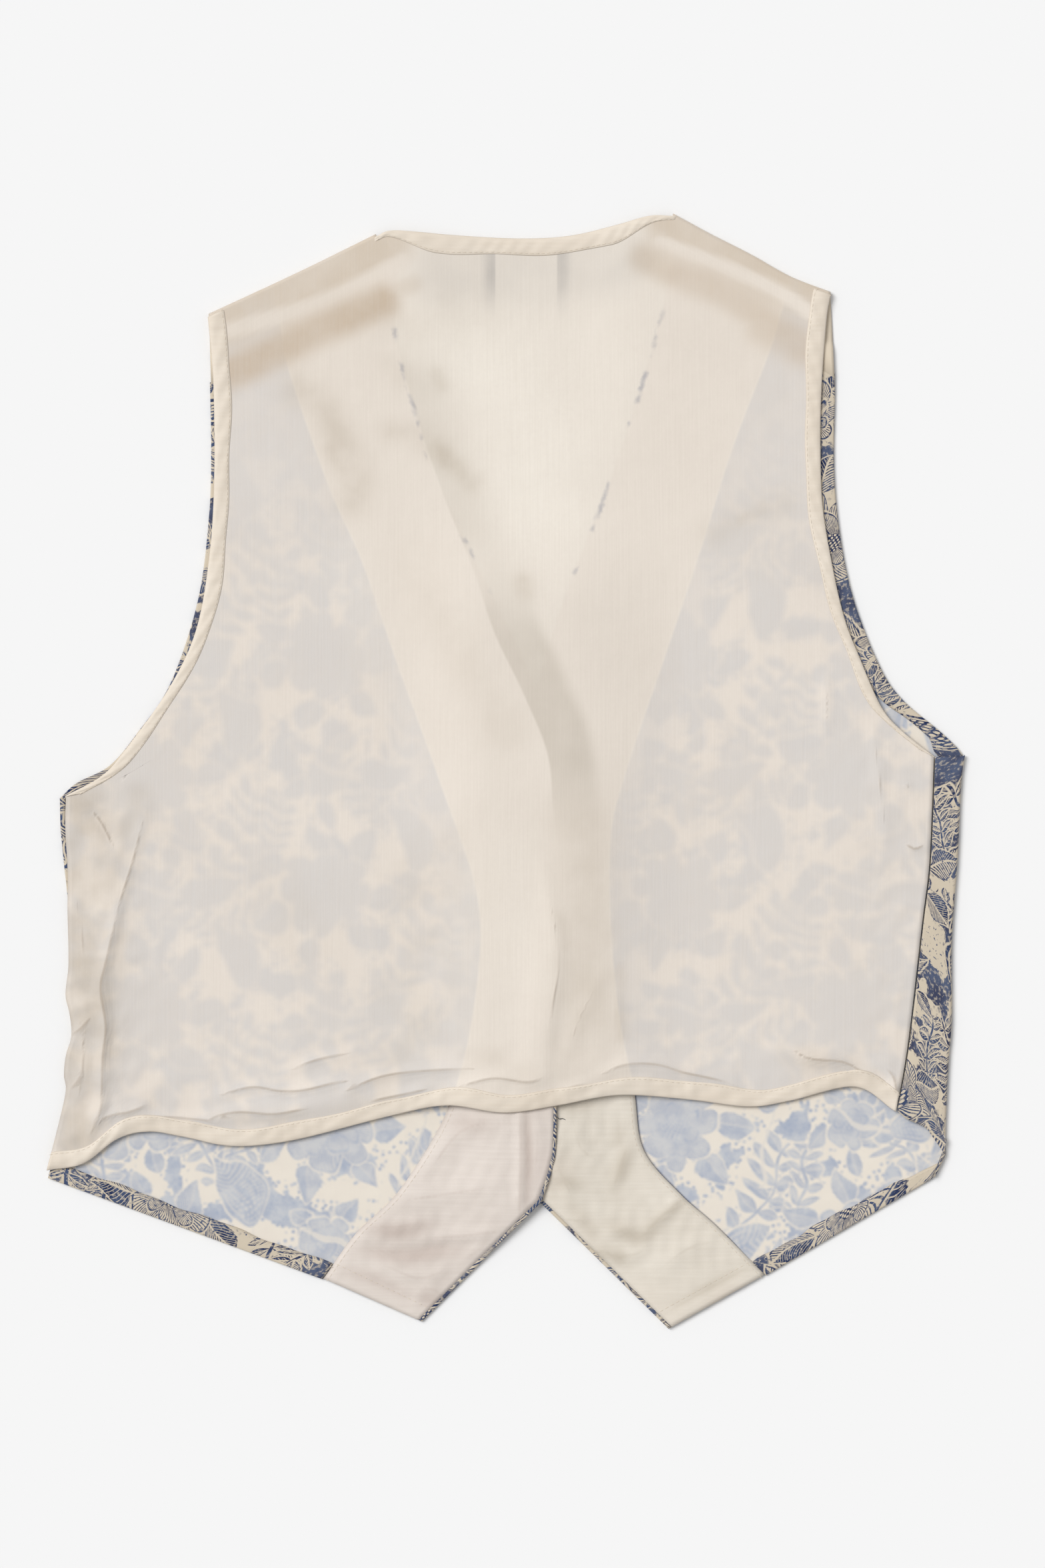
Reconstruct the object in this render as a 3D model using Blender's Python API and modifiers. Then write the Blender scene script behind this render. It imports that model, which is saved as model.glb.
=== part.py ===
"""A short waistcoat laid flat, face down: printed fronts lapped underneath, a plain back on top.

X runs across the garment, Y from the hem to the neck and Z up. The floor is Z = 0 and the origin is
the middle of the outline. Tables and heights are in millimetres, and the finished meshes in metres.
"left" is the side at -X. Each panel is the middle surface of its cloth, and Solidify gives it a wall.
"""

import math

import bmesh
import bpy
from mathutils import Matrix

MM = 0.001

# Driving dimensions
CLOTH = 1.0
GAP = 0.3
BINDING_WIDTH = 8.5
HEM_TURNUP_WIDTH = 9.0
ARMHOLE_TURNIN_WIDTH = 9.5
ALLOWANCE_WIDTH = 13.0
FACING_TOP_CLEARANCE = 3.5
FACING_SETBACK = 1.5
SEAM_GAP = 0.8
BACK_REST = 2.8
LAP_RISE = 2.7
BUTTON_DIAMETER = 15.0
BUTTON_THICKNESS = 2.0
BUTTON_SPACING = 77.0
BUTTON_COUNT = 4
FIRST_BUTTON_Y = 51.0
CENTRE_FRONT_X = 17.5
BUTTON_SIDES = 20
BUTTON_HOLE_RADIUS = 0.9
BUTTON_HOLE_OFFSET = 1.9
BUTTON_EDGE = 0.7
BUTTON_RIM = 1.7
BUTTON_DISH = 0.6
PLACKET_RISE = BUTTON_THICKNESS + GAP
LAYER = CLOTH + GAP
ROLL = BACK_REST / 2.0 + CLOTH / 2.0
LABEL_SIZE = (51.0, 30.0)
LABEL_MIDDLE = (10.7, 260.0)
LABEL_TURN = 3.8
LABEL_REST = 0.1

# Where the fronts and the back climb over the lap and the buttons: each runs from the floor to full height
LAP_FOOT = (-275.0, -229.0)
PLACKET_FOOT = (-250.0, -200.0)
VEE_TOP = (122.0, 72.0)
LEFT_FRONT_RAMP = (-36.0, 3.0)
RIGHT_FRONT_RAMP = (60.0, 29.0)
BACK_RAMP_LEFT = (-62.0, -8.0)
BACK_RAMP_RIGHT = (95.0, 30.0)
BACK_RAMP_TOP = (150.0, 85.0)

# Where the back sinks: between the facings at the neck, and along the side seam at the left
NECK_SAG = 1.3
NECK_MIDDLE_X = 13.0
NECK_SAG_WIDTH = (60.0, 20.0)
NECK_SAG_START = (150.0, 235.0)
SIDE_SEAM_EDGE = (-207.0, -226.0)
SIDE_SEAM_TOP = (-22.0, -46.0)
SIDE_SEAM_FOOT = (-196.0, -172.0)

# Rows of each panel, from the hem to the shoulder
POINT_ROWS = 7
EDGE_ROWS = 13
VEE_ROWS = 15
FRONT_ROWS = POINT_ROWS + EDGE_ROWS + VEE_ROWS + 1
FRONT_SIDE_ROWS = 14
FACING_COLUMNS = 5
BODY_COLUMNS = 7
BACK_SIDE_ROWS = 12
BACK_ARMHOLE_ROWS = 19
SHOULDER_COLUMNS = 6
NECK_COLUMNS = 11
FOLD_STEPS = 4
WRAP_COLUMNS = 3
CURVE_STEPS = 12

# Outlines as x, y from one named corner to the next
BACK_SIDE_LEFT = [(-240.0, -209.0), (-233.5, -183.0), (-230.0, -155.0), (-228.3, -132.0), (-229.6, -78.0),
                  (-231.2, -40.0), (-230.0, -13.5)]
BACK_ARMHOLE_LEFT = [(-230.0, -13.5), (-211.0, -3.0), (-199.0, 10.0), (-175.0, 44.0), (-160.7, 75.6),
                     (-153.7, 117.6), (-151.6, 160.0), (-152.2, 205.0), (-155.2, 240.0)]
BACK_SIDE_RIGHT = [(205.3, -178.2), (211.4, -144.6), (219.1, -79.5), (222.6, -51.5), (224.3, -18.0),
                   (225.2, 7.2)]
BACK_ARMHOLE_RIGHT = [(225.2, 7.2), (208.3, 20.7), (197.1, 33.6), (185.9, 59.2), (177.8, 80.2),
                      (171.5, 107.5), (166.3, 139.7), (165.2, 174.7), (166.0, 205.0), (168.5, 238.0),
                      (171.0, 251.5)]
BACK_HEM = [(-240.0, -209.0), (-221.0, -205.5), (-203.0, -192.5), (-186.6, -188.7), (-168.0, -191.5),
            (-142.0, -196.3), (-110.0, -193.0), (-60.0, -180.5), (-30.0, -174.8), (0.0, -178.5),
            (28.0, -174.7), (60.0, -169.4), (97.0, -171.9), (128.0, -175.6), (150.0, -172.5),
            (184.0, -165.2), (205.3, -178.2)]
SHOULDER_LEFT = [(-155.2, 240.0), (-110.0, 261.0), (-67.6, 281.8)]
NECK = [(-67.6, 281.8), (-58.0, 283.0), (-28.7, 280.4), (8.0, 278.6), (34.0, 280.0), (58.0, 285.4),
        (76.0, 290.6), (88.5, 292.6)]
SHOULDER_RIGHT = [(88.5, 292.6), (107.8, 282.1), (129.0, 271.3), (150.0, 259.6), (171.0, 251.5)]
SHOULDER_SEAM_LEFT = [(-154.4, 215.6), (-56.4, 251.7)]
SHOULDER_SEAM_RIGHT = [(86.3, 266.0), (135.0, 242.2), (172.6, 219.0)]

FRONT_POINT_LEFT = [(-43.8, -288.8), (18.9, -226.0)]
FRONT_EDGE_LEFT = [(18.9, -226.0), (24.8, -208.0), (26.8, -190.0), (26.6, -120.0), (26.3, -40.0), (26.0, 2.0)]
FRONT_VEE_LEFT = [(26.0, 2.0), (21.0, 28.4), (10.0, 58.0), (-7.4, 93.5), (-35.0, 152.3), (-44.8, 182.0),
                  (-56.6, 226.0), (-56.4, 251.7)]
FACING_OUTER_LEFT = [(-95.0, -266.5), (-78.0, -242.9), (-54.3, -219.1), (-28.7, -175.0), (-15.5, -120.0),
                     (-14.0, -67.6), (-33.6, -6.7), (-57.0, 58.0), (-74.9, 109.6), (-92.4, 149.5), (-112.4, 207.2),
                     (-117.0, 229.4)]
FRONT_SIDE_LEFT = [(-239.5, -213.3), (-233.5, -183.0), (-230.3, -155.0), (-228.5, -132.0), (-229.8, -78.0),
                   (-231.4, -40.0), (-232.6, -14.5)]
FRONT_ARMHOLE_LEFT = [(-232.6, -14.5), (-224.0, -6.7), (-206.9, 2.3), (-192.2, 19.6), (-174.7, 45.9),
                      (-160.3, 89.6), (-154.5, 134.0), (-153.4, 170.0), (-154.4, 215.6)]

FRONT_POINT_RIGHT = [(86.5, -292.6), (8.0, -215.3)]
FRONT_EDGE_RIGHT = [(8.0, -215.3), (8.0, -130.0), (8.0, -60.0), (8.0, 2.0)]
FRONT_VEE_RIGHT = [(8.0, 2.0), (12.8, 28.4), (23.8, 67.2), (37.5, 107.1), (52.5, 144.6), (66.2, 184.5),
                   (82.6, 239.8), (86.3, 266.0)]
FACING_OUTER_RIGHT = [(136.5, -264.5), (111.3, -239.1), (92.4, -222.3), (73.0, -199.0), (68.0, -168.0),
                      (60.2, -128.5), (55.7, -80.0), (56.0, -32.6), (64.0, 0.0), (85.0, 62.0), (102.6, 114.5),
                      (120.0, 169.8), (138.6, 218.4), (144.0, 236.0)]
FRONT_CORNER_RIGHT = [(224.7, -213.5), (231.0, -201.3)]
FRONT_SIDE_RIGHT = [(231.0, -201.3), (233.1, -155.4), (234.9, -131.0), (235.0, -89.0), (238.0, -46.9),
                    (239.4, -15.4), (241.1, 8.0)]
FRONT_ARMHOLE_RIGHT = [(241.1, 8.0), (228.9, 19.6), (208.3, 37.1), (196.4, 54.6), (182.7, 89.6),
                       (175.4, 124.6), (172.3, 160.0), (172.9, 200.0), (172.6, 219.0)]
SIDE_WRAP_HEM = [(231.0, -201.3), (224.4, -191.8), (220.5, -186.9), (211.0, -182.7), (206.1, -178.2)]

# The back under the shoulder roll: how far before the seam, and how many layers up, the cloth lies
SHOULDER_UNDERSIDE = [(15.0, 0), (6.0, 0), (1.5, 1), (-ALLOWANCE_WIDTH, 1)]

# The back's largest folds and puffs: middle x, y, half widths along and across, turn in degrees, height
FOLD_FALL = 1.5
BACK_FOLDS = [
    (-4.0, -166.0, 26.0, 13.0, 0.0, 1.7),
    (20.0, -125.0, 62.0, 12.0, 84.0, 1.8),
    (-105.0, -176.0, 62.0, 11.0, 12.0, 1.3),
    (75.0, -158.0, 48.0, 11.0, -2.0, 1.3),
    (163.0, -154.0, 26.0, 12.0, -18.0, 1.7),
    (-209.0, -100.0, 78.0, 12.0, 84.0, 1.5),
    (-196.0, -176.0, 26.0, 12.0, 30.0, 1.4),
    (-192.0, -25.0, 30.0, 12.0, -50.0, 1.2),
]


def ease(value, start, end):
    """0 at start and beyond it, 1 at end and beyond it, and smooth between."""
    part = min(max((value - start) / (end - start), 0.0), 1.0)
    return part * part * (3.0 - 2.0 * part)


def blend(a, b, part):
    """The point that lies this part of the way from a to b."""
    return tuple(p + (q - p) * part for p, q in zip(a, b))


def through(knots):
    """A fine run of points on the smooth curve (Catmull-Rom) through the knots."""
    if len(knots) == 2:
        return list(knots)
    ends = [blend(knots[1], knots[0], 2.0)] + list(knots) + [blend(knots[-2], knots[-1], 2.0)]
    fine = []
    for corners in zip(ends, ends[1:], ends[2:], ends[3:]):
        for step in range(CURVE_STEPS):
            t = step / CURVE_STEPS
            fine.append(tuple(
                0.5 * (2 * q + (r - p) * t + (2 * p - 5 * q + 4 * r - s) * t ** 2
                       + (3 * q - p - 3 * r + s) * t ** 3)
                for p, q, r, s in zip(*corners)))
    return fine + [tuple(knots[-1])]


def at_lengths(fine, lengths):
    """The points of a fine run that lie at these lengths along it, which rise."""
    found, walked, index = [], 0.0, 0
    for length in lengths:
        while index < len(fine) - 2 and walked + math.dist(fine[index], fine[index + 1]) < length:
            walked += math.dist(fine[index], fine[index + 1])
            index += 1
        part = (length - walked) / math.dist(fine[index], fine[index + 1])
        found.append(blend(fine[index], fine[index + 1], min(part, 1.0)))
    return found


def spaced(knots, cells, first=None, last=None):
    """Points on the curve through the knots: even cells, apart from a first or last one of its own length."""
    fine = through(knots)
    whole = sum(math.dist(a, b) for a, b in zip(fine, fine[1:]))
    start, end = first or 0.0, whole - (last or 0.0)
    even = cells - (first is not None) - (last is not None)
    lengths = [start + (end - start) * n / even for n in range(even + 1)]
    if first is not None:
        lengths = [0.0] + lengths
    if last is not None:
        lengths = lengths + [whole]
    return at_lengths(fine, lengths)


def joined(*runs):
    """Runs that share their end points, as one run."""
    whole = list(runs[0])
    for run in runs[1:]:
        whole += run[1:]
    return whole


def toward(point, goal, length):
    """The point moved this far towards the goal."""
    return blend(point, goal, length / math.dist(point, goal))


def left_lift(x, y):
    """How far the left front's underside stands above the floor, over the right front and the buttons."""
    rise = LAP_RISE * ease(y, *LAP_FOOT) + PLACKET_RISE * ease(y, *PLACKET_FOOT)
    return rise * ease(x, *LEFT_FRONT_RAMP) * ease(y, *VEE_TOP)


def right_lift(x, y):
    """How far the right front's underside stands above the floor, over the buttons."""
    return PLACKET_RISE * ease(x, *RIGHT_FRONT_RAMP) * ease(y, *PLACKET_FOOT) * ease(y, *VEE_TOP)


def fold_height(x, y):
    """The height that the back's folds add at a point."""
    added = 0.0
    for middle_x, middle_y, along, across, turn, height in BACK_FOLDS:
        cos, sin = math.cos(math.radians(turn)), math.sin(math.radians(turn))
        u = ((x - middle_x) * cos + (y - middle_y) * sin) / along
        v = ((y - middle_y) * cos - (x - middle_x) * sin) / across
        added += height * math.exp(-FOLD_FALL * (u * u + v * v))
    return added


def back_lift(x, y):
    """How far the back's underside stands above the floor."""
    lap = (LAP_RISE + PLACKET_RISE) * ease(x, *BACK_RAMP_LEFT) * ease(x, *BACK_RAMP_RIGHT)
    lap *= ease(y, *BACK_RAMP_TOP)
    neck_sag = NECK_SAG * ease(abs(x - NECK_MIDDLE_X), *NECK_SAG_WIDTH) * ease(y, *NECK_SAG_START)
    side_seam = BACK_REST - CLOTH - 2.0 * GAP
    side_seam *= ease(x, *SIDE_SEAM_EDGE) * ease(y, *SIDE_SEAM_TOP) * ease(y, *SIDE_SEAM_FOOT)
    return BACK_REST + lap - neck_sag - side_seam + fold_height(x, y)


def material(name, colour, roughness):
    """A cloth or shell finish."""
    made = bpy.data.materials.new(name)
    made.use_nodes = True
    shader = made.node_tree.nodes["Principled BSDF"]
    shader.inputs["Base Color"].default_value = (*colour, 1.0)
    shader.inputs["Roughness"].default_value = roughness
    shader.inputs["Metallic"].default_value = 0.0
    made.diffuse_color = (*colour, 1.0)
    return made


def add_object(name, mesh, finish):
    """One sub-part of the garment, as an object of its own."""
    made = bpy.data.objects.new(name, mesh)
    made.data.materials.append(finish)
    made.data.shade_smooth()
    waistcoat.objects.link(made)
    return made


def cloth_piece(name, rows, finish, more_rows=()):
    """A piece of cloth whose middle surface runs through rows of x, y, z, with a wall added by Solidify.

    more_rows are strips that hang on its edges. Their shared points coincide with the panel's own.
    """
    places, points, faces = {}, [], []

    def number(point):
        key = tuple(round(value, 4) for value in point)
        if key not in places:
            places[key] = len(points)
            points.append([value * MM for value in point])
        return places[key]

    for strip in [rows, *more_rows]:
        numbered = [[number(point) for point in row] for row in strip]
        for low, high in zip(numbered, numbered[1:]):
            for n in range(len(low) - 1):
                faces.append((low[n], low[n + 1], high[n + 1], high[n]))
    mesh = bpy.data.meshes.new(name)
    mesh.from_pydata(points, [], faces)
    made = add_object(name, mesh, finish)
    wall = made.modifiers.new("Wall", "SOLIDIFY")
    wall.thickness = CLOTH * MM
    wall.offset = 0.0


def raised(rows):
    """The rows moved up by one cloth and one gap."""
    return [[(x, y, z + LAYER) for x, y, z in row] for row in rows]


def fold_over(points, inner_points, lower, upper):
    """Rows that turn a panel's edge over, from the lower middle height to the upper one.

    points are the panel's edge points, and inner_points say which way the panel lies.
    """
    rows = []
    for step in range(FOLD_STEPS + 1):
        angle = math.pi * step / FOLD_STEPS
        row = []
        for (x, y, _), inside, low, high in zip(points, inner_points, lower, upper):
            radius = (high - low) / 2.0
            out_x, out_y = x - inside[0], y - inside[1]
            size = math.hypot(out_x, out_y)
            reach = radius * math.sin(angle) / size
            row.append((x + out_x * reach, y + out_y * reach, low + radius - radius * math.cos(angle)))
        rows.append(row)
    return rows


def front_plan(point, edge, vee, outer, side, armhole, corner=None):
    """The plan of one front as rows from hem to shoulder, each from the front edge to the side."""
    edge_run = joined(spaced(point, POINT_ROWS, first=HEM_TURNUP_WIDTH), spaced(edge, EDGE_ROWS),
                      spaced(vee, VEE_ROWS + 1, last=ALLOWANCE_WIDTH + FACING_TOP_CLEARANCE))
    outer_run = spaced(outer, FRONT_ROWS, first=HEM_TURNUP_WIDTH, last=ALLOWANCE_WIDTH + FACING_TOP_CLEARANCE)
    if corner:
        side_run = joined(corner, spaced(side, FRONT_SIDE_ROWS - 1))
    else:
        side_run = spaced(side, FRONT_SIDE_ROWS, first=HEM_TURNUP_WIDTH)
    armhole_run = spaced(armhole, FRONT_ROWS - FRONT_SIDE_ROWS, last=ALLOWANCE_WIDTH + FACING_TOP_CLEARANCE)
    side_run = joined(side_run, armhole_run)
    rows = []
    for a, b, c in zip(edge_run, outer_run, side_run):
        first = toward(a, b, FACING_SETBACK)
        turned = toward(c, b, ARMHOLE_TURNIN_WIDTH)
        row = [a] + [blend(first, b, n / FACING_COLUMNS) for n in range(FACING_COLUMNS + 1)]
        row += [blend(b, turned, n / BODY_COLUMNS) for n in range(1, BODY_COLUMNS + 1)] + [c]
        rows.append(row)
    return rows


def lifted(plan, lift):
    """The plan's points at the middle of the cloth."""
    return [[(x, y, lift(x, y) + CLOTH / 2.0) for x, y in row] for row in plan]


def facing_rows(rows):
    """A facing's rows, above those of its front, up to the shoulder's allowance."""
    return raised([row[1:FACING_COLUMNS + 2] for row in rows[:-1]])


def turnup_rows(rows):
    """The hem's turn-up, from the facing to the side."""
    start = FACING_COLUMNS + 1
    band = [list(row[start:]) for row in rows[:2]]
    band = [[toward(row[0], row[1], GAP)] + row[1:] for row in band]
    return raised(band)


def turnin_rows(rows):
    """The armhole's turn-in, from the underarm to the shoulder's allowance."""
    return raised([row[-2:] for row in rows[FRONT_SIDE_ROWS:-1]])


def patch(bottom, top, left, right):
    """Rows of plan points between four runs that meet at their ends (a Coons patch)."""
    rows = []
    for j, (a, b) in enumerate(zip(left, right)):
        v = j / (len(left) - 1)
        row = []
        for i, (low, high) in enumerate(zip(bottom, top)):
            u = i / (len(bottom) - 1)
            row.append(tuple(
                (1 - v) * low[k] + v * high[k] + (1 - u) * a[k] + u * b[k]
                - (1 - u) * (1 - v) * bottom[0][k] - u * (1 - v) * bottom[-1][k]
                - (1 - u) * v * top[0][k] - u * v * top[-1][k]
                for k in range(2)))
        rows.append(row)
    return rows


def matched(knots, points):
    """Points on the curve through the knots that divide it as the given points divide their own run."""
    steps = [math.dist(a[:2], b[:2]) for a, b in zip(points, points[1:])]
    fine = through(knots)
    whole = sum(math.dist(a, b) for a, b in zip(fine, fine[1:]))
    return at_lengths(fine, [whole * sum(steps[:n]) / sum(steps) for n in range(len(points))])


def bordered(rows, width):
    """The same rows with the first and last cell of each row and column made as wide as a binding."""
    wide = [[row[0], toward(row[0], row[1], width), *row[1:-1], toward(row[-1], row[-2], width), row[-1]]
            for row in rows]
    low = [toward(a, b, width) for a, b in zip(wide[0], wide[1])]
    high = [toward(a, b, width) for a, b in zip(wide[-1], wide[-2])]
    return [wide[0], low, *wide[1:-1], high, wide[-1]]


def back_plan():
    """The plan of the back's upper layer, rows from hem to neck. At the shoulders it ends where they roll."""
    left = joined(spaced(BACK_SIDE_LEFT, BACK_SIDE_ROWS), spaced(BACK_ARMHOLE_LEFT, BACK_ARMHOLE_ROWS))
    right = joined(spaced(BACK_SIDE_RIGHT, BACK_SIDE_ROWS), spaced(BACK_ARMHOLE_RIGHT, BACK_ARMHOLE_ROWS))
    columns = 2 * SHOULDER_COLUMNS + NECK_COLUMNS
    top_left, top_right = spaced(SHOULDER_LEFT, SHOULDER_COLUMNS), spaced(SHOULDER_RIGHT, SHOULDER_COLUMNS)
    top_left = [toward(a, b, ROLL) for a, b in zip(top_left, matched(SHOULDER_SEAM_LEFT, top_left))]
    top_right = [toward(a, b, ROLL) for a, b in zip(top_right, matched(SHOULDER_SEAM_RIGHT, top_right))]
    neck = spaced([top_left[-1], *NECK[1:-1], top_right[0]], NECK_COLUMNS)
    left[-1], right[-1] = top_left[0], top_right[-1]
    top = joined(top_left, neck, top_right)
    return bordered(patch(spaced(BACK_HEM, columns), top, left, right), BINDING_WIDTH)


def shoulder_strip(edge, seam):
    """The back's roll over one shoulder, its run under to the seam, and the allowance over the front.

    edge is the end of the back's upper layer at that shoulder, with heights. seam has a plan point for each.
    """
    middle = CLOTH / 2.0
    rows = fold_over(edge, seam, [middle] * len(edge), [z for _, _, z in edge])[::-1]
    for before_seam, layer in SHOULDER_UNDERSIDE:
        rows.append([(*toward(goal, start[:2], before_seam), middle + layer * LAYER)
                     for start, goal in zip(edge, seam)])
    return rows


def side_wrap(rows):
    """The right front's turn over the fold at its side, up to the seam with the back: one row for each side row."""
    side = [row[-1] for row in rows[1:FRONT_SIDE_ROWS + 1]]
    inner = [row[-2] for row in rows[1:FRONT_SIDE_ROWS + 1]]
    seam = matched([(x + SEAM_GAP, y) for x, y in BACK_SIDE_RIGHT], side)
    heights = [back_lift(x, y) + CLOTH / 2.0 for x, y, _ in side]
    turned = fold_over(side, inner, [CLOTH / 2.0] * len(side), heights)
    strip = []
    for n, around in enumerate(zip(*turned)):
        if n == 0:
            across = spaced(SIDE_WRAP_HEM, WRAP_COLUMNS)[1:]
        else:
            across = spaced([around[-1][:2], seam[n]], WRAP_COLUMNS)[1:]
        strip.append([*around, *((x, y, back_lift(x, y) + CLOTH / 2.0) for x, y in across)])
    return strip


def with_fold_room(plan):
    """The right front's plan with its side drawn in, so that the turned fold ends at the outline."""
    roomy = [list(row) for row in plan]
    for row in roomy[1:FRONT_SIDE_ROWS + 1]:
        row[-1] = toward(row[-1], row[-2], ROLL)
    return roomy


def button(name, x, y, finish):
    """A plain round button with a dished face on the floor and four holes."""
    radius, thick = BUTTON_DIAMETER / 2.0, BUTTON_THICKNESS
    profile = [(0.0, thick), (radius - BUTTON_EDGE, thick), (radius, thick - BUTTON_EDGE),
               (radius, BUTTON_EDGE), (radius - BUTTON_EDGE, 0.0), (radius - BUTTON_RIM, 0.0),
               (radius - BUTTON_RIM - BUTTON_DISH, BUTTON_DISH), (0.0, BUTTON_DISH)]
    mesh = bpy.data.meshes.new(name)
    mesh.from_pydata([(r * MM, 0.0, z * MM) for r, z in profile],
                     [(n, n + 1) for n in range(len(profile) - 1)], [])
    made = add_object(name, mesh, finish)
    made.location = (x * MM, y * MM, 0.0)
    turned = made.modifiers.new("Turned", "SCREW")
    turned.steps = turned.render_steps = BUTTON_SIDES
    turned.use_merge_vertices = True
    turned.merge_threshold = 0.01 * MM
    pierced = bpy.data.meshes.new(name + "_holes")
    shape = bmesh.new()
    for turn in range(4):
        angle = math.pi * (0.25 + 0.5 * turn)
        place = Matrix.Translation((BUTTON_HOLE_OFFSET * math.cos(angle) * MM,
                                    BUTTON_HOLE_OFFSET * math.sin(angle) * MM, thick / 2.0 * MM))
        bmesh.ops.create_cone(shape, cap_ends=True, segments=8, radius1=BUTTON_HOLE_RADIUS * MM,
                              radius2=BUTTON_HOLE_RADIUS * MM, depth=3.0 * thick * MM, matrix=place)
    shape.to_mesh(pierced)
    shape.free()
    cutter = bpy.data.objects.new(name + "_holes", pierced)
    cutter.location = made.location
    cutter.hide_render = True
    cutter.display_type = "WIRE"
    cutters.objects.link(cutter)
    holes = made.modifiers.new("Holes", "BOOLEAN")
    holes.object = cutter
    holes.operation = "DIFFERENCE"


for existing in list(bpy.data.objects):
    bpy.data.objects.remove(existing, do_unlink=True)
waistcoat = bpy.data.collections.new("waistcoat")
cutters = bpy.data.collections.new("cutters")
bpy.context.scene.collection.children.link(waistcoat)
bpy.context.scene.collection.children.link(cutters)

back_silk = material("back_silk", (0.78, 0.72, 0.64), 0.5)
binding_silk = material("binding_silk", (0.84, 0.73, 0.58), 0.45)
print_cloth = material("print_cloth", (0.45, 0.46, 0.50), 0.8)
left_facing_silk = material("left_facing_silk", (0.71, 0.64, 0.59), 0.45)
right_facing_silk = material("right_facing_silk", (0.75, 0.70, 0.60), 0.45)
label_ribbon = material("label_ribbon", (0.70, 0.66, 0.60), 0.6)
button_shell = material("button_shell", (0.80, 0.76, 0.68), 0.25)

left_front = lifted(front_plan(FRONT_POINT_LEFT, FRONT_EDGE_LEFT, FRONT_VEE_LEFT, FACING_OUTER_LEFT,
                               FRONT_SIDE_LEFT, FRONT_ARMHOLE_LEFT), left_lift)
right_front = lifted(with_fold_room(front_plan(FRONT_POINT_RIGHT, FRONT_EDGE_RIGHT, FRONT_VEE_RIGHT,
                                               FACING_OUTER_RIGHT, FRONT_SIDE_RIGHT, FRONT_ARMHOLE_RIGHT,
                                               corner=FRONT_CORNER_RIGHT)), right_lift)
cloth_piece("front_left", left_front, print_cloth)
cloth_piece("front_right", right_front, print_cloth, [side_wrap(right_front)])
cloth_piece("facing_left", facing_rows(left_front), left_facing_silk)
cloth_piece("facing_right", facing_rows(right_front), right_facing_silk)
for side, front in (("left", left_front), ("right", right_front)):
    cloth_piece("hem_turnup_" + side, turnup_rows(front), print_cloth)
    cloth_piece("armhole_turnin_" + side, turnin_rows(front), print_cloth)

back = lifted(back_plan(), back_lift)
shoulder = SHOULDER_COLUMNS + 2
left_edge, right_edge = back[-1][:shoulder], back[-1][-shoulder:]
cloth_piece("back", back, back_silk, [
    shoulder_strip(left_edge, matched(SHOULDER_SEAM_LEFT, left_edge)),
    shoulder_strip(right_edge, matched(SHOULDER_SEAM_RIGHT, right_edge))])
armhole = back[BACK_SIDE_ROWS + 1:]
cloth_piece("armhole_binding_left", raised([row[:2] for row in armhole]), binding_silk)
cloth_piece("armhole_binding_right", raised([row[-2:] for row in armhole]), binding_silk)
cloth_piece("neck_binding", raised([row[shoulder - 1:1 - shoulder] for row in back[-2:]]), binding_silk)
cloth_piece("hem_binding", raised(back[:2]), binding_silk)

turn = math.radians(LABEL_TURN)
half_width, half_depth = LABEL_SIZE[0] / 2.0, LABEL_SIZE[1] / 2.0
cloth_piece("label", [[
    (LABEL_MIDDLE[0] + u * math.cos(turn) - v * math.sin(turn),
     LABEL_MIDDLE[1] + u * math.sin(turn) + v * math.cos(turn), LABEL_REST + CLOTH / 2.0)
    for u in (-half_width, half_width)] for v in (-half_depth, half_depth)], label_ribbon)

for count in range(BUTTON_COUNT):
    button(f"button_{count + 1}", CENTRE_FRONT_X, FIRST_BUTTON_Y - count * BUTTON_SPACING, button_shell)
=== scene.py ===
"""A short waistcoat laid flat, face down: the shown cloth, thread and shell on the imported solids.

X runs across the garment, Y from the hem to the neck and Z up. Plans and heights are in millimetres
until a mesh is made. "left" is the side at -X. Cloth faces have two materials: the upper and the under.
"""

import math

import bmesh
import bpy
import numpy as np
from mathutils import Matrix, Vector


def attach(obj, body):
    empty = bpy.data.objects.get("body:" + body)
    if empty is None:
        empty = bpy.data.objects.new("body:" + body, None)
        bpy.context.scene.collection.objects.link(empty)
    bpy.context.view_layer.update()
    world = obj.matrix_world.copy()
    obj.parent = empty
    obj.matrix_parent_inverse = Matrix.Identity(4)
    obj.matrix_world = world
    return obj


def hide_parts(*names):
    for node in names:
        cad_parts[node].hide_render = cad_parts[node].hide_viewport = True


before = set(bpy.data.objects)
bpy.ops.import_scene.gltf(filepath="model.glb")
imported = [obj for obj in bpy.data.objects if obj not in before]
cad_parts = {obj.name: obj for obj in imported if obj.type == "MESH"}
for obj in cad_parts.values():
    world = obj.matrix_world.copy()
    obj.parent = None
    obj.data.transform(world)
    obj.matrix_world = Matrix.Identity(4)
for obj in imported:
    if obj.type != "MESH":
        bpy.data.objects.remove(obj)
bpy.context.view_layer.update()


# The fronts
# Two panels of printed cotton, pointed at the hem, with the left one nearer the camera at the lap.
# They lie wrong side up. Their edges roll up over the facings, and the right one turns over at its side,
# where its right side shows up to the seam with the back.
MM = 0.001
SOLID_CLOTH = 1.0
SHELL = 0.5
GAP = 0.3
LAYER = SOLID_CLOTH + GAP
MIDDLE = SOLID_CLOTH / 2.0
BACK_REST = 2.8
ROLL = BACK_REST / 2.0 + MIDDLE
SEAM_GAP = 0.8
SEAM_LAP = 3.0
LIP_REACH, LIP_FLAT = 0.4, 1.1
WELD = 0.02
FINE = 6
POINT_CELLS, EDGE_CELLS, VEE_CELLS = 7 * FINE, 13 * FINE, 16 * FINE
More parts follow.
